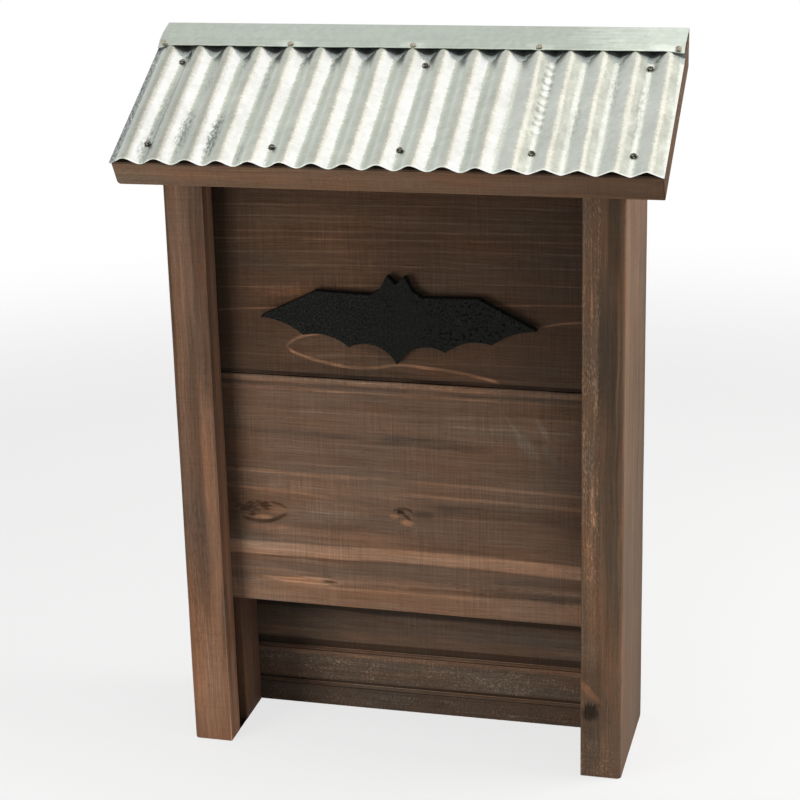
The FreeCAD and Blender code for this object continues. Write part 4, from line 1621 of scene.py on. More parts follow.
@dataclass
class MetalRoof:
    """The corrugated sheet and the flashing over its top edge."""

    waves: int = 17
    width: float = 323.0
    front: float = -14.3
    rear: float = 95.2
    base: float = 17.6
    height: float = 4.0
    metal: float = 0.5
    across_steps: int = 341
    along_steps: int = 84
    unevenness: float = 0.07
    flashing_half: float = 161.0
    flashing_steps: int = 160
    flashing_front: float = FLASHING_FRONT
    flashing_knee: float = 95.3
    flashing_base: float = 22.2
    fold_low: float = 19.3
    drop: float = 12.0
    dimple: Point = (0.9, 2.6)
    rear_inset: float = 1.0
    rear_gap: float = 0.1
    nails: tuple[Point, ...] = ()
    end_nails: tuple[Point, ...] = ()
    dents: tuple[Row, ...] = (
        (85.9, 78, 1, -0.7), (85.8, 72.5, 1.1, -0.8), (86, 66, 1.2, -0.7), (85.2, 59.5, 1.4, -1.1),
        (84.6, 53, 1.4, -0.9), (85.3, 46.5, 1.3, -1.1), (84.9, 39, 1.1, -0.8), (84.3, 33, 1, -0.9),
        (84.8, 27.5, 1.2, -0.7), (112, 25, 2.4, -0.3), (-33, 20, 1.6, -0.25))

    def sheet(self, finish: Material, underside: Material) -> None:
        """Draw the corrugated sheet, hammer its nails' dimples and dents, and give it its thickness.

        Args:
            finish: the sheet's material.
            underside: the material of its lower face, painted dark as the shade in the gaps under the waves.
        """
        slope = Slope()
        piece = piece_from("corrugated_roof", bpy.data.meshes.new("grid"), finish)
        length = self.rear - self.front
        corrugation_tree().run(
            piece, Width=self.width, Length=length, Pitch=self.width / self.waves, Height=self.height,
            Across_Steps=self.across_steps, Along_Steps=self.along_steps, Crisp_From=CRISP_FROM,
            Unevenness=self.unevenness, Finish=finish)
        middle = (self.front + self.rear) / 2
        level = self.base + (self.height + self.metal) / 2
        for vertex in piece.data.vertices:
            across, along, rise = vertex.co.x, vertex.co.y + middle, vertex.co.z + level
            rise = max(self.base + self.metal / 2, rise + self.hammered(across, along))
            vertex.co = slope.place(across, along, rise)
        self.thicken(piece, finish, underside)
        settle(piece, "corrugated_zinc", "roof_sheet")

    def hammered(self, across: float, along: float) -> float:
        """Return how far the sheet is beaten down or sprung up at a place."""
        move = 0.0
        for x, s in self.nails:
            far = math.hypot(across - x, (along - s) * 0.9)
            move -= self.dimple[0] * math.exp(-(far / self.dimple[1]) ** 2)
        for x, s, size, depth in self.dents:
            move += depth * math.exp(-((across - x) / (size * 1.4)) ** 2 - ((along - s) / size) ** 2)
        move += 0.12 * noise.noise(Vector((across / 22, along / 30, 4.0)))
        return move

    def thicken(self, piece: Item, *finishes: Material) -> None:
        """Give a surface the metal's thickness, evenly about it.

        Args:
            piece: the surface.
            finishes: its material, and a second one for its underside if there is one.
        """
        wall = piece.modifiers.new("metal", "SOLIDIFY")
        wall.thickness = self.metal * MM
        wall.offset = 0.0
        wall.use_even_offset = True
        bake(piece)
        body = bmesh.new()
        body.from_mesh(piece.data)
        mesh = closed(body, 40.0)
        for finish in finishes:
            mesh.materials.append(finish)
        up = Slope().up
        for face in mesh.polygons:
            face.material_index = int(len(finishes) > 1 and face.normal.dot(up) < -0.5)
        piece.data = mesh

    def flashing(self, finish: Material) -> None:
        """Bend the flashing from its front edge over the ridge to its rear strip."""
        slope = Slope()
        path = self.flashing_path()
        half = self.flashing_half
        body = bmesh.new()
        rows = []
        for index in range(self.flashing_steps + 1):
            across = -half + 2 * half * index / self.flashing_steps
            rows.append([body.verts.new(slope.place(across, along, rise + self.pressed(across, along, rise)))
                         for along, rise in path])
        for left, right in zip(rows[:-1], rows[1:]):
            for index in range(len(path) - 1):
                body.faces.new((left[index], right[index], right[index + 1], left[index + 1]))
        piece = piece_from("ridge_flashing", written(body), finish)
        self.thicken(piece, finish)
        settle(piece, "flashing_zinc", "top_flashing")

    def flashing_path(self) -> list[Point]:
        """Return the flashing's middle line on the slope, from its front edge to the end of its strip."""
        slope = Slope()
        half = self.metal / 2
        top = self.flashing_base + half
        rear = SIDE_DEPTH - self.rear_inset + self.rear_gap + half
        fold = self.fold_low + half
        bend = (rear + fold * slope.sine) / slope.cosine
        end = (bend + half - self.drop * slope.sine, fold - self.drop * slope.cosine)
        knee = self.flashing_knee
        lead = [(self.flashing_front + (knee - self.flashing_front) * step / 3, top) for step in range(4)]
        fall = [(knee + (bend - 1.6 - knee) * step / 6,
                 top + (fold + 0.15 - top) * step / 6) for step in range(1, 7)]
        corner = [(bend - 0.9, fold + 0.02), (bend - 0.35, fold - 0.35), (bend - 0.2, fold - 0.9)]
        drop = [(bend - 0.2 + (end[0] - bend) * step / 5, fold - 0.9 + (end[1] - fold + 0.9) * step / 5)
                for step in range(1, 6)]
        return lead + fall + corner + drop

    def pressed(self, across: float, along: float, rise: float) -> float:
        """Return how far the flashing is nailed down or rippled at a place.

        Args:
            across, along, rise: the place on the slope.

        Returns:
            The move in millimetres.
        """
        ahead = max(0.0, 1 - (along - self.flashing_front) / 16)
        left = math.exp(-((across + self.flashing_half) / 7.0) ** 2)
        right = math.exp(-((across - self.flashing_half) / 6.0) ** 2)
        move = -(2.4 * left + 1.1 * right) * ahead ** 1.5
        for x, s in self.end_nails:
            move += -0.35 * math.exp(-math.hypot(across - x, along - s) ** 2 / 9.0)
        return move + 0.18 * noise.noise(Vector((across / 34, along / 14, 1.0))) * (rise > self.fold_low)

    def build(self) -> None:
        """Build both sheets."""
        # A dark finish on the sheet's lower face stands in for the shade in the gaps under its waves.
        underside = Metalwork("sheet_underside", stain(96, 98, 98), stain(52, 52, 52), 0.6, 0.6, 5.0).make()
        self.sheet(CorrugatedZinc("corrugated_zinc_coat", 0.32).make(), underside)
        # The flashing's nails, each with a painted highlight round it.
        glinting_nails = tuple((x, s) if abs(x) < 150 else (x * 0.95, s) for x, s in self.end_nails if x > -150)
        self.flashing(Zinc("flashing_zinc_coat", 0.36, nails=glinting_nails).make())


@dataclass
class BatFigure:
    """The flat bat on the upper front board."""

    half_span: float = 86
    height: float = 55
    thickness: float = 5
    tail: float = 255.7
    face: float = FRONT_FACE
    scallops: tuple[tuple[Point, Point], ...] = (
        ((0.163, 0.211), (0.343, 0.172)), ((0.51, 0.296), (0.672, 0.283)), ((0.853, 0.432), (1, 0.459)))
    wing: tuple[Point, ...] = ((0.663, 0.722), (0.581, 0.791), (0.186, 0.773), (0.116, 0.84), (0.064, 1))
    notch: Point = (0, 0.909)
    front_edge: tuple[Point, ...] = ((0, 0.45), (0.15, 0.16), (0.5, 0), (2.5, 0))
    turn: float = -0.5
    drop: float = 0.8

    def outline(self) -> list[Point]:
        """Return the bat's outline, right half up from the tail and left half down."""
        def at(share: Point) -> Vector:
            """Return the place of a point given as shares of half the span and of the height."""
            return Vector((share[0] * self.half_span, self.tail + share[1] * self.height))
        right = [at((0, 0))]
        for middle, end in self.scallops:
            right += arc(right[-1], at(middle), at(end), 9)
        tip = len(right) - 1
        right += [at(share) for share in self.wing]
        blunt = {0: 0.5, tip: 0.5, len(right) - 1: 0.7}
        corners = [(point.x, point.y, blunt.get(index, 0)) for index, point in enumerate(right)]
        mirrored = [(-x, z, radius) for x, z, radius in reversed(corners[1:])]
        return eased(corners + [(*at(self.notch), 0)] + mirrored)

    def build(self) -> None:
        """Build the bat with an eased front edge."""
        front = self.face - self.thickness
        rings = [(front + back, inset) for back, inset in self.front_edge] + [(self.face, 0)]
        lean = math.radians(self.turn)
        middle = self.tail + self.height / 2

        def place(u: float, v: float, y: float) -> Vector:
            """Return a place in the figure, which leans and hangs a little low."""
            rise = v - middle
            return placed(u * math.cos(lean) - rise * math.sin(lean), y,
                          middle - self.drop + u * math.sin(lean) + rise * math.cos(lean))

        piece = piece_from("bat_silhouette", prism(self.outline(), rings, place), BlackPaint().make())
        settle(piece, "black_paint", "bat_figure")


def arc(start: Vector, middle: Vector, end: Vector, steps: int) -> list[Vector]:
    """Return points after the start on the arc through three points.

    Args:
        start, middle, end: the three points.
        steps: how many points it returns.

    Returns:
        The points.
    """
    ax, ay, bx, by, cx, cy = *start, *middle, *end
    turn = 2 * (ax * (by - cy) + bx * (cy - ay) + cx * (ay - by))
    a, b, c = ax * ax + ay * ay, bx * bx + by * by, cx * cx + cy * cy
    centre = Vector(((a * (by - cy) + b * (cy - ay) + c * (ay - by)) / turn,
                     (a * (cx - bx) + b * (ax - cx) + c * (bx - ax)) / turn))
    first, last = start - centre, end - centre
    sweep = math.atan2(first.cross(last), first.dot(last))
    points = []
    for step in range(1, steps + 1):
        angle = sweep * step / steps
        points.append(centre + Vector((first.x * math.cos(angle) - first.y * math.sin(angle),
                                       first.x * math.sin(angle) + first.y * math.cos(angle))))
    return points


@dataclass
class Fastenings:
    """The nails, the screws and the hanging strap."""

    lower_row: float = 2.7
    upper_row: float = 78.2
    flashing_row: float = 91.4
    pitch: float = 19.0
    left: float = -161.5
    head: float = 1.8
    shank: float = 0.9
    strap_half: float = 133.0
    strap_low: float = 288.0
    strap_high: float = 316.0
    strap_thickness: float = 1.5
    strap_corner: float = 0.8
    screw_hole: float = 2.75
    rear: float = REAR
    keyholes: tuple[float, ...] = (-50.0, 50.0)
    keyhole_entry: float = 297.0
    keyhole_end: float = 309.0
    keyhole_radii: Point = (4.5, 2.2)
    sheet_seat: float = 17.6 + 0.5 + 0.3
    flashing_seat: float = 22.7
    back_margin: float = 25.0
    back_half: float = 116.2

    @property
    def sheet_nails(self) -> tuple[list[Point], list[Point]]:
        """Places of the lower and the upper nails of the corrugated sheet."""
        lower = [(self.left + wave * self.pitch, self.lower_row) for wave in (1, 5, 9, 13, 16)]
        upper = [(self.left + wave * self.pitch, self.upper_row) for wave in (1, 9, 16)]
        return lower, upper

    @property
    def flashing_nails(self) -> list[Point]:
        """Places of the flashing's nails."""
        return [(x, self.flashing_row) for x in (-157.5, -76.0, 0.0, 76.0, 157.5)]

    def nail(self, length: float) -> Item:
        """Make the pattern of a nail with a domed head whose seat is at zero."""
        r, h = self.shank, self.head
        profile = [(0, -length), (r, -length + 2 * r), (r, -0.05), (h * 0.92, 0.0), (h, 0.18), (h, 0.42),
                   (h * 0.9, 0.6), (h * 0.62, 0.74), (h * 0.3, 0.79), (0, 0.8)]
        return self.pattern(turned(profile))

    def screw(self) -> Item:
        """Make the pattern of a countersunk screw with a cross recess, its head's top at zero."""
        body = turned([(0, -12), (1.4, -9.2), (1.4, -1.1), (2.5, -0.12), (2.42, 0), (1.7, 0), (0, 0)], 24)
        for vertex in body.verts:
            x, y, z = vertex.co / MM
            if z > -0.01 and math.hypot(x, y) < 1.8 and min(abs(x), abs(y)) < 0.5:
                vertex.co.z = -0.9 * MM * (1 - math.hypot(x, y) / 2.2)
        return self.pattern(body)

    def pattern(self, body: EditMesh) -> Item:
        """Keep a fastener's mesh in a helper object."""
        return linked("pattern", closed(body, 35.0))

    def drive(self, name: str, slot: str, node: str, places: Sequence[Vector], outwards: Vector,
              pattern: Item, lean: float, seed: int, finish: Material) -> None:
        """Drive a fastener at each place.

        Args:
            name, slot, node: the piece, its finish's slot and the CAD piece that it stands for.
            places, outwards: where the heads sit and where they look.
            pattern: the helper object with the fastener, which is removed.
            lean, seed: how far the fasteners lean, and the seed of their spin and lean.
            finish: the material.
        """
        mesh = bpy.data.meshes.new("places")
        mesh.from_pydata([tuple(place) for place in places], [], [])
        piece = piece_from(name, mesh, finish)
        fastener_tree().run(piece, Fastener=pattern, Outwards=tuple(outwards), Lean=lean, Seed=seed, Finish=finish)
        bpy.data.objects.remove(pattern)
        settle(piece, slot, node)

    def strap(self, finish: Material) -> None:
        """Build the strap as one flat face with two keyholes, then give it its thickness."""
        body = bmesh.new()
        front = self.rear - self.strap_thickness
        rim = [(-self.strap_half, self.strap_low), (self.strap_half, self.strap_low),
               (self.strap_half, self.strap_high), (-self.strap_half, self.strap_high)]
        loops = [eased([(*corner, self.strap_corner) for corner in rim])]
        loops += [self.keyhole(middle) for middle in self.keyholes]
        hole = self.screw_hole
        loops += [[(x + hole * math.cos(math.pi * step / 12), v + hole * math.sin(math.pi * step / 12))
                   for step in range(24)] for x, v in self.strap_screws]
        edges = []
        for loop in loops:
            ring = [body.verts.new(placed(u, self.rear, v)) for u, v in loop]
            edges += [body.edges.new((a, b)) for a, b in zip(ring, ring[1:] + ring[:1])]
        bmesh.ops.triangle_fill(body, use_beauty=True, edges=edges)
        made = bmesh.ops.extrude_face_region(body, geom=list(body.faces))
        for item in made["geom"]:
            if isinstance(item, bmesh.types.BMVert):
                item.co.y = front * MM
        piece = piece_from("hanging_strap_plate", closed(body, 30.0), finish)
        settle(piece, "strap_steel", "hanging_strap")

    @property
    def strap_screws(self) -> list[Point]:
        """Places of the strap's screws, two at each end."""
        outer, height = self.strap_half - 5, (self.strap_low + self.strap_high) / 2
        return [(x, height) for x in (-outer, -outer + 9, outer - 9, outer)]

    def keyhole(self, middle: float) -> list[Point]:
        """Return the outline of a keyhole."""
        big, small = self.keyhole_radii
        start = math.asin(small / big)
        points = []
        for step in range(25):
            angle = math.pi / 2 + start + (2 * math.pi - 2 * start) * step / 24
            points.append((middle + big * math.cos(angle), self.keyhole_entry + big * math.sin(angle)))
        for step in range(13):
            angle = math.pi * step / 12
            points.append((middle + small * math.cos(angle), self.keyhole_end + small * math.sin(angle)))
        return points

    def build(self) -> None:
        """Build the visible fasteners and the strap, and finish the hidden ones."""
        slope = Slope()
        lower, upper = self.sheet_nails
        dull = Metalwork("nail_tarnish", stain(176, 172, 158), stain(46, 41, 35), 0.55, 0.45, 1.1).make()
        rust = stain(132, 106, 84)
        rusty = Metalwork("flashing_nail_tarnish", stain(190, 184, 168), rust, 0.45, 0.42, 0.9).make()
        bright = Metalwork("screw_plating", stain(205, 200, 176), stain(168, 158, 126), 0.4, 0.3).make()
        steel = Metalwork("strap_plating", stain(196, 198, 196), stain(164, 168, 168), 0.4, 0.32, 6.0).make()
        low_seat, high_seat = self.sheet_seat, self.flashing_seat
        for name, node, row, seat, length, lean, seed, finish in (
                ("sheet_nail_row_lower", "sheet_nails_lower", lower, low_seat, 16.0, 0.08, 4, dull),
                ("sheet_nail_row_upper", "sheet_nails_upper", upper, low_seat, 16.0, 0.08, 9, dull),
                ("flashing_nail_row", "flashing_nails", self.flashing_nails, high_seat, 19.0, 0.05, 5, rusty)):
            places = [slope.place(x, s, seat) for x, s in row]
            self.drive(name, "nail_steel", node, places, slope.up, self.nail(length), lean, seed, finish)
        outwards = Vector((0, 1, 0))
        boards = Boards()
        step, margin = boards.back_step, self.back_margin
        edges = [0.0, step, 2 * step, boards.roof_line(BACK_FACE)]
        places = [placed(x, self.rear - 0.8, height) for low, high in zip(edges[:-1], edges[1:])
                  for height in (low + margin, high - margin) for x in (-self.back_half, self.back_half)]
        self.drive("back_nail_heads", "nail_steel", "back_board_nails", places, outwards, self.nail(25.0), 0.0, 6,
                   dull)
        places = [placed(x, self.rear, height) for x, height in self.strap_screws]
        self.drive("strap_screw_heads", "screw_steel", "strap_screws", places, outwards, self.screw(), 0.0, 7,
                   bright)
        self.strap(steel)
        for node, finish in (("roof_screws", bright), ("front_board_brads", dull), ("bat_figure_brads", dull)):
            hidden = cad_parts[node]
            hidden.data.materials.clear()
            hidden.data.materials.append(finish)


# ---------------------------------------------------------------- the boards' looks


# What each board shows, at its place in millimetres along the grain and across the board.

LEFT_WOOD = Wood(
    "left_side_stain", Grain.UPRIGHT, stain(95, 83, 72), stain(111, 79, 59), redness=0.66, pith=(-150, 30),
    spacing=6, fine=0.05, streak=0.08, fibre=0.12, hatch=0.05, blotch=0.08, inner=(-113, -1, 1.05, -0.05),
    features=(
        # The two bands at -136.8 are painted shade along the rounded left edge.
        Band(-117.4, 9, -0.34, -0.2, 3, start=235, fade=20), Band(-136.8, 3, -0.4, 0, 2.4),
        Band(-136.8, 3, -0.62, 0, 2.4, start=118, fade=30),
        Band(-125.5, 8, -0.42, 0, 5, start=90, end=275, fade=25),
        Band(-116.6, 8, 0.16, 0.1, 3, start=108, end=230, fade=10),
        Band(-125, 30, 0.33, 0.4, 8, end=90, fade=60), Line(((0, -113.5), (371, -113.6)), 0.5, -0.1),
        Spot(195, -118.6, 46, 3.6, 0.04, 0.3, ragged=0.5), Spot(110, -128, 40, 5, -0.1, -0.3, ragged=0.5),
        Spot(160, -132, 60, 3, -0.08, -0.2, ragged=0.5),
        Line(((150, -121.5), (190, -119.8), (235, -120.6), (270, -119)), 1.6, 0.08, 0.2, 2.4, 20),
        Spot(84, -114.2, 24, 1.2, -0.35, -0.6, turn=2), Spot(92, -113.3, 9, 0.9, 0.7, -0.6),
        Spot(340, -125, 70, 14, 0.16, -0.1, soft=0.9), Rough(-138, -113, 0.16, long=2.4, short=0.8)))

RIGHT_WOOD = Wood(
    "right_side_stain", Grain.UPRIGHT, stain(93, 83, 71), stain(109, 79, 58), redness=0.54, pith=(160, 20),
    spacing=5, fine=0.05, streak=0.08, fibre=0.11, hatch=0.055, blotch=0.08, inner=(113, 1, 0, -0.75),
    features=(
        Band(132.2, 8, -0.34, -0.3, start=90, end=240, fade=40),
        Band(127.4, 11, -0.72, -0.2, 2.2, start=236, end=308, fade=24),
        Band(131, 7, -0.72, -0.1, 2.2, start=316), Band(136.2, 2.6, -0.12, 0.1, 1.8, start=200, fade=25),
        Band(119, 5, 0.2, 0.2, 3, start=72, end=180, fade=15),
        # A painted highlight along the eased inner edge.
        Line(((0, 113.6), (371, 113.6)), 0.6, 0.15, broken=0.6),
        Rough(113, 124.5, 1, start=128, long=2.6, skew=1.3),
        Rough(113, 125.5, 0.45, end=128, long=2.2, skew=1.3), Rough(113, 134, 0.8, end=22, long=1.8, short=1.1),
        Spot(181, 119.7, 16, 1.2, 0.65, 0.4), Spot(150, 117.2, 9, 0.7, 0.5, 0.2),
        Spot(246, 121.6, 12, 0.8, 0.5, 0.2), Spot(300, 118.6, 10, 0.8, 0.5, 0.2),
        Spot(192, 122.4, 9, 0.7, 0.5, 0.3), Spot(170, 121.2, 6, 0.9, 0.5, 0.3),
        Spot(56.6, 118.7, 9, 2.2, 0.22, 0.9, turn=-48), Spot(62.6, 115.4, 4, 1, 0.1, 0.6, turn=-48),
        Spot(68, 119, 8, 8, -0.45, 0.1, soft=0.8), Spot(54, 123, 6, 5, -0.3, soft=0.8),
        Spot(43.9, 118.6, 5.6, 4.2, -1.9, -0.3), Spot(38.5, 122, 13, 8, -0.4, turn=30),
        Spot(18, 118, 16, 5, -0.25, -0.2), Spot(90, 131, 70, 6, 0.12, 0.3, soft=0.9)))

LOWER_WOOD = Wood(
    "lower_front_stain", Grain.ACROSS, stain(93, 80, 69), stain(108, 77, 56), redness=0.42, pith=(150, 55),
    spacing=5.5, fine=0.05, streak=0.07, fibre=0.13, hatch=0.115, blotch=0.07, face=FRONT_FACE, features=(
        Line(((-120, 241.3), (-60, 240.6), (0, 240.4), (60, 239.6),
              (120, 239.3)), 2, 0.46, 0.1, 0.9, broken=0.2),
        Line(((-120, 238), (0, 237.2), (120, 236.2)), 1.2, -0.25, -0.3),
        Line(((-120, 235.6), (0, 234.4), (120, 233.6)), 0.7, 0.3, 0.2, 0.6, broken=0.6),
        Line(((-120, 244.2), (120, 242.5)), 1.3, -1.5, 0, 0.5),
        Line(((-120, 208.8), (-80, 207.2), (-48, 206.5), (-16.4, 205.9)), 1.6, -0.28, -0.2, 1.4, 16),
        Line(((-20, 206), (2.4, 205.8), (21.1, 205), (60, 203.6)), 4, -0.32, -0.3, 3, 16),
        Line(((-120, 180.8), (-81.2, 180.6), (-49, 179.8), (0, 180.6)), 1.2, 0.25, 0.4, 1.2, 16),
        Line(((-120, 170), (-80, 168.2), (-40, 165.4)), 0.9, 0.25, 0.4, 1, 16),
        Line(((-6, 179.8), (45.4, 178.6), (82.2, 177.6), (120, 176.2)), 0.8, 0.28, 0.3, 0.9, 16),
        Line(((-6, 171), (57.6, 169.8), (120, 168)), 1.2, 0.32, 0.3, 1.2, 16),
        Line(((14, 162), (57.6, 161.7), (120, 160)), 5, -0.28, -0.1, 2.5, 16),
        Line(((-100, 137.8), (-40, 137.6), (20, 137), (70, 134.8), (120, 133.6)), 1.4, -0.16, 0, 1.4),
        Line(((-120, 129.2), (-40, 129.2), (0, 129.7), (60, 128.8), (100, 127.3),
              (120, 126.9)), 7, 0.84, 0.3, 1.8, broken=0.06),
        Line(((-120, 124), (-40, 124), (-20, 125.2), (20, 125.2), (60, 124.6), (80, 124),
              (120, 122.6)), 0.9, -0.42, 0.3, broken=0.2), Band(118, 8, -0.4, 0, 4, start=62, fade=16),
        Band(113, 4, 0.46, 0, 3), Band(108.6, 7, 0.5, 0, 3, start=-70, end=48),
        Band(99.8, 13.6, 0.44, 0.3, 2.6), Band(139.6, 9, 0.46, 0.1, 3, start=-84, end=0, fade=16),
        Band(171, 9, 0.34, 0, 5, start=-80, end=5, fade=16), Spot(-45, 158.5, 24, 6, 0.42, soft=0.7),
        # Of the bands below, the one that ends at -100 is the left side board's painted shadow and the one that
        # starts at 98 is painted shade towards the right end.
        Band(233, 15, -0.28, 0, 6, start=68, fade=20), Band(198, 112, -1, 0, 30, end=-100, fade=18),
        Band(192, 104, -0.62, 0, 30, start=98, fade=18),
        Spot(76, 110.5, 44, 3, -0.34, -0.2, turn=-3, ragged=0.4),
        Line(((0, 109), (40, 108.6), (60, 107.6), (80, 107.4), (120, 108)), 1.3, -0.42, 0.1, 1),
        Line(((30, 216.6), (60, 216.4), (108, 216)), 0.7, 0.34, 0, 0.6, broken=0.4),
        Line(((60, 225.6), (108, 226)), 0.8, -0.34, 0.1, 0.7),
        Line(((24, 222), (64, 221.6)), 0.6, 0.24, 0, 0.6),
        Spot(-91.5, 155, 13.5, 6, -0.46, 0.45, push=3, ragged=0.3),
        Spot(-99.8, 155.6, 5.2, 2.2, -1.1, -0.3, ragged=0.5), Spot(-98, 158.6, 2.1, 1.5, -1.1),
        Spot(-88.6, 157.4, 2.8, 2, -1.6, 0.3, ragged=0.4), Spot(-97, 151.4, 1.9, 1.3, -1.2, 0.3),
        Spot(-93, 159.2, 2.6, 1.6, -0.8, 0.2), Spot(-90.5, 150, 6, 1.6, 0.66, 0.6, turn=4),
        Spot(-80, 154.6, 6, 2.4, 0.24, 0.2, turn=14), Spot(-86, 143.6, 12, 2, 0.12, 0.5, turn=3),
        Line(((-105, 150.4), (-97, 147.4), (-89, 147.2), (-82, 149.2), (-77, 151.6),
              (-73, 154.2)), 1.5, -1.25, 0.5, 1, 4),
        Line(((-86, 160.6), (-79, 158.8), (-73, 156)), 1.1, -1, 0.3, 0.9, 3),
        Spot(-1.5, 159.3, 2.3, 1.3, -2.1, 0.2, push=2.5), Spot(2.4, 156.4, 3, 1, -1.5, 0.3, turn=-40),
        Line(((-6.5, 157.8), (-2.5, 161.2), (2.5, 161.4), (6.5, 157.8)), 0.9, -1.1, 0.2, 0.8, 1),
        Spot(2.5, 152.4, 4, 2, 0.5, 1), Spot(-5.5, 156.2, 2.8, 1.6, 0.3, 0.8),
        Spot(12.5, 158.4, 6, 2.6, -0.45, -0.3), Spot(-72, 109, 31, 1.9, 0.5, 0.4),
        Line(((-94, 109.6), (-70, 109.9), (-55, 111), (-46, 110.9)), 0.7, 0.55, 0, 0.5, 5),
        Line(((-88, 108.6), (-70, 107.6), (-55, 107.2), (-46, 107.6)), 0.7, 0.55, 0, 0.5, 5),
        Line(((-72, 112.2), (-58, 112.8), (-44, 112.8)), 0.6, -0.4, 0, 0.6, 5),
        Spot(-48.6, 109.2, 4.4, 0.9, -1.5, 0.1), Spot(87.5, 217, 8, 1.8, 0.7, -0.6, turn=-62),
        Spot(77, 207, 11, 3.4, 0.62, -0.7, turn=-50), Spot(92, 201, 8, 2.4, 0.5, -0.6, turn=-60),
        Spot(68, 220, 8, 1.2, 0.4, -0.3, turn=-55), Spot(84.5, 209.5, 4, 2, -0.25, -0.3),
        # The second spot on this line is painted shade towards the right end.
        Spot(-50, 212, 80, 40, 0.12, soft=0.9), Spot(100, 185, 26, 60, -0.22, soft=0.9),
        Rough(240, 243.5, 0.6, long=3, short=0.7), Rough(92, 240, 0.07, short=0.7)))

UPPER_WOOD = Wood(
    "upper_front_stain", Grain.ACROSS, stain(62, 52, 43), stain(73, 50, 35), redness=0.5, pith=(230, 0),
    drift=(0.02, 0), spacing=2.6, fine=0.06, streak=0.07, fibre=0.13, hatch=0.13, blotch=0.07,
    face=FRONT_FACE, hair=0.25, features=(
        Line(((-120, 348.8), (-48.8, 350), (23.9, 351.1), (120, 351.9)), 0.3, 0.55, -0.4, 0.7),
        Line(((-120, 341.9), (-49.1, 343.3), (23.8, 344.5), (120, 344.8)), 0.3, 0.6, -0.4, 0.7),
        Line(((-120, 338.8), (-49.2, 340.3), (23.7, 341.5), (120, 341.8)), 0.3, 0.5, -0.4, 0.7),
        Line(((-120, 332.7), (-49.4, 334.2), (23.6, 335.6), (120, 337.2)), 0.4, 0.7, -0.4, 0.7),
        Line(((-120, 327.8), (-49.6, 329.4), (23.5, 330.8), (120, 332.6)), 0.4, 0.8, -0.4, 0.7),
        Line(((-120, 319.6), (-49.9, 322), (23.4, 324.2), (120, 325.5)), 0.3, 0.65, -0.4, 0.7),
        Line(((-120, 310.2), (-50.2, 313.5), (23.2, 315.1), (120, 317.2)), 0.3, 0.6, -0.3, 0.7),
        Line(((-120, 297.3), (-50.7, 300.5), (23, 304.2), (62, 305.8), (120, 306.4)), 0.3, 0.6, -0.2, 0.7),
        Line(((-120, 282.6), (-84.7, 285.4), (0, 290), (98.6, 294.7), (120, 295.2)), 0.4, 0.6, 0.5, 0.7),
        Line(((50, 276), (85.6, 280.8), (98.6, 283.9), (120, 285.6)), 0.6, 0.85, 0.6, 0.7),
        Line(((-70.8, 261.4), (-69, 263.4), (-62.1, 268.1), (-53, 270.6), (-43, 271.8),
              (-20, 272.6)), 1.1, 1, 0.35, 0.9, 1),
        Line(((-70.8, 262.6), (-69, 260.8), (-62.5, 257.4), (-43.7, 252.6), (-21.7, 250.6), (0.2, 253.6),
              (18.7, 252.7), (43.2, 249.6), (62, 245.4)), 1.1, 1, 0.35, 0.9, 4),
        Spot(-44, 262, 24, 7.5, 0.22, 0.2, turn=-6, ragged=0.05), Spot(20, 249.5, 60, 1.6, 0.15, 0.3, turn=-4),
        Spot(-60, 296, 24, 3, 0.12, 0.7, soft=0.8), Spot(104, 300, 34, 60, -0.34, -0.2, soft=0.9),
        # The band that ends at -100 is the left side board's painted shadow.
        Band(310, 130, -0.75, 0, 30, end=-100, fade=18), Spot(-45, 310, 36, 42, 0.38, 0.1, soft=0.8),
        Band(256, 7, 0.28, -0.1, 4, start=-70, end=72, fade=16),
        Band(342, 14, 0.2, 0, 6, start=-90, end=20, fade=15),
        Line(((-120, 245.4), (120, 243.7)), 1.4, -1.4, 0, 0.5), Rough(243, 372, 0.07, short=0.7)))

BACK_WOOD = Wood(
    "lower_back_stain", Grain.ACROSS, stain(80, 71, 62), stain(94, 68, 51), redness=0.35, pith=(70, 60),
    spacing=4, fine=0.07, fibre=0.12, hatch=0.1, streak=0.06, blotch=0.08, face=BACK_FACE,
    grooves=((39, 48.5), (13.6, 18.5)), features=(
        Line(((-120, 37.4), (120, 37.4)), 1.6, 0.35, 0.4, 1.6), Rough(17, 38, 0.9, long=1.2),
        Rough(19, 36, 0.7, long=2.4, short=1.6), Rough(0, 12.5, 0.9, long=0.9, short=2.2),
        # The spot at -72, 71 is painted shade under the lower front board.
        Band(28, 17, 0.2, -0.2, 5), Band(12, 2.6, -0.3), Spot(-72, 71, 42, 6, -0.4, soft=0.7),
        Spot(50, 42, 84, 30, 0.28, soft=0.8), Spot(-92, 42, 12, 30, 0.4, soft=0.7),
        # The last band on this line and the band on the next are the painted shadow under the lower front board.
        Line(((-120, 52), (0, 51.6), (120, 51.8)), 4, 0.12, 0.3, 2), Band(75, 40, -0.3, 0, 20),
        Band(81.6, 24, -1.5, 0, 3)))

PLAIN_BACK_WOOD = Wood(
    "plain_back_stain", Grain.ACROSS, stain(94, 82, 70), stain(109, 78, 57), redness=0.45, pith=(230, 50),
    spacing=5, fine=0.07, fibre=0.12, hatch=0.1, streak=0.08, face=BACK_FACE)

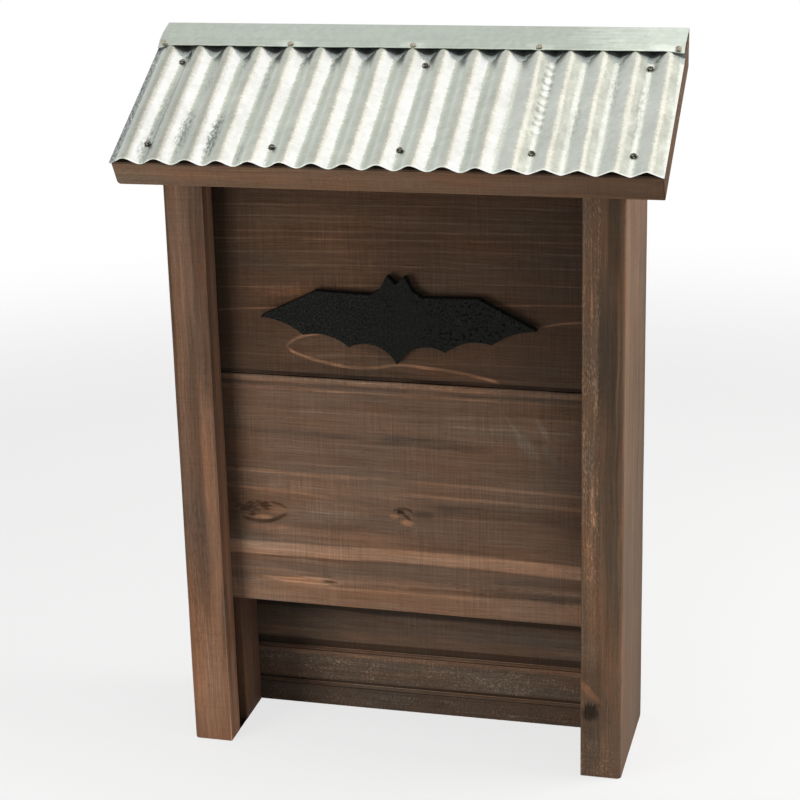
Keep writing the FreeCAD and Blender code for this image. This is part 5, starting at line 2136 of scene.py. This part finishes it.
ROOF_WOOD = Wood(
    "roof_stain", Grain.ROOF, stain(94, 82, 69), stain(110, 78, 56), redness=0.55, pith=(-24, 30), spacing=3.2,
    fine=0.04, streak=0.05, fibre=0.1, hatch=0.06, blotch=0.05, ends=160.6, face=FRONT - 10.0, features=(
        # The line at 17 is the painted shadow under the sheet's front edge.
        Band(10.8, 4, 0.2, 0, 3), Line(((-162, 17), (162, 17)), 1.2, -1.2, -0.3, 0.6),
        Band(2.6, 3, -0.12, 0, 2.5), Spot(-150, 10.5, 22, 10, 0.34, -0.6, soft=0.8),
        Spot(136, 10, 60, 22, -0.3, soft=0.9)))


# ---------------------------------------------------------------- stage, light and camera


@dataclass(frozen=True)
class Softbox:
    """A rectangular lamp that points at a target."""

    name: str
    place: tuple[float, float, float]
    target: tuple[float, float, float]
    size: Point
    power: float
    colour: Colour = (1.0, 1.0, 1.0)

    def build(self) -> None:
        """Hang the lamp; metal mirrors the white studio in its place."""
        lamp = bpy.data.lights.new(self.name, "AREA")
        lamp.shape = "RECTANGLE"
        lamp.size, lamp.size_y = self.size
        lamp.energy = self.power
        lamp.color = self.colour
        item = linked(self.name, lamp)
        item.location = self.place
        item.visible_glossy = False
        item.rotation_euler = (Vector(self.target) - Vector(self.place)).to_track_quat("-Z", "Y").to_euler()


@dataclass(frozen=True)
class Studio:
    """A white studio with a pale floor, soft lamps and the photograph's camera."""

    ambient: float = 0.22
    floor_radius: float = 1.4
    floor_fade: float = 0.7
    floor_shadow: float = 0.26
    focal_pixels: float = 2047.74
    azimuth: float = 14.6435
    elevation: float = 18.0684
    roll: float = -1.4582
    place: tuple[float, float, float] = (0.296133, -1.150626, 0.613956)
    softboxes: tuple[Softbox, ...] = (
        Softbox("overhead", (-0.05, -0.10, 1.35), (0.0, 0.0, 0.3), (1.1, 1.1), 3.6),
        Softbox("key", (-0.42, -0.50, 0.12), (0.0, 0.0, 0.2), (0.22, 0.26), 2.8, (1.0, 0.98, 0.95)),
        Softbox("right", (0.80, 0.16, 0.55), (0.13, 0.0, 0.26), (0.5, 0.6), 6.2, (1.0, 0.98, 0.95)))

    def world(self) -> None:
        """Light the world evenly and show it white."""
        world = bpy.data.worlds.new("studio")
        world.use_nodes = True
        bpy.context.scene.world = world
        desk = Desk(world.node_tree)
        strength = self.seen(desk) * (1.0 - self.ambient) + self.ambient
        back = desk.ask("ShaderNodeBackground", {"Color": (1, 1, 1, 1), "Strength": strength})
        desk.plug(desk.node("ShaderNodeOutputWorld").inputs[0], back)
        if hasattr(world, "cycles"):
            world.cycles.sampling_method = "NONE"

    def seen(self, desk: Desk) -> Wire:
        """Return 1 where the camera, a mirror or glass looks at the background."""
        rays = desk.node("ShaderNodeLightPath")
        wires = [Wire(desk, rays.outputs[f"Is {kind} Ray"]) for kind in ("Camera", "Glossy", "Transmission")]
        return desk.math("MAXIMUM", desk.math("MAXIMUM", wires[0], wires[1]), wires[2])

    def floor(self) -> None:
        """Lay a pale round floor that fades into the white and shows a light shadow."""
        body = bmesh.new()
        bmesh.ops.create_circle(body, cap_ends=True, segments=96, radius=self.floor_radius)
        paint = Finish("pale_floor")
        far = paint.reach(paint.x, paint.y) / (1 / MM)
        shown = paint.sway(self.floor_radius, self.floor_fade, far)
        shown = shown * (1.0 - self.seen(paint) * (1.0 - self.floor_shadow))
        solid = paint.ask("ShaderNodeBsdfDiffuse", {"Color": (0.86, 0.86, 0.86, 1)})
        clear = paint.ask("ShaderNodeBsdfTransparent", {})
        blend = paint.ask("ShaderNodeMixShader", {0: shown, 1: clear, 2: solid})
        paint.plug(paint.node("ShaderNodeOutputMaterial").inputs[0], blend)
        item = piece_from("floor", written(body), paint.material)
        item.location.z = -0.0004

    def camera(self) -> None:
        """Set the camera where the photograph was taken."""
        a, e, r = (math.radians(angle) for angle in (self.azimuth, self.elevation, self.roll))
        ahead = Vector((-math.sin(a) * math.cos(e), math.cos(a) * math.cos(e), -math.sin(e)))
        right = Vector((math.cos(a), math.sin(a), 0))
        up = right.cross(ahead)
        side = right * math.cos(r) + up * math.sin(r)
        top = up * math.cos(r) - right * math.sin(r)
        lens = bpy.data.cameras.new("camera")
        lens.sensor_width = SENSOR
        lens.lens = self.focal_pixels * SENSOR / PHOTO_SIDE
        item = linked("camera", lens)
        turn = Matrix((side, top, -ahead)).transposed()
        item.matrix_world = Matrix.Translation(self.place) @ turn.to_4x4()
        bpy.context.scene.camera = item

    def build(self) -> None:
        """Set up the whole studio."""
        bpy.context.scene.view_settings.view_transform = "Standard"
        self.world()
        self.floor()
        for softbox in self.softboxes:
            softbox.build()
        self.camera()


def main() -> None:
    """Dress the box."""
    logging.basicConfig(level=logging.INFO, format="%(name)s: %(message)s")
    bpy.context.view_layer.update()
    Studio().build()
    Boards().build()
    RoofBoard().build()
    fastenings = Fastenings()
    lower, upper = fastenings.sheet_nails
    MetalRoof(nails=tuple(lower + upper), end_nails=tuple(fastenings.flashing_nails)).build()
    BatFigure().build()
    fastenings.build()


if __name__ == "__main__":
    main()
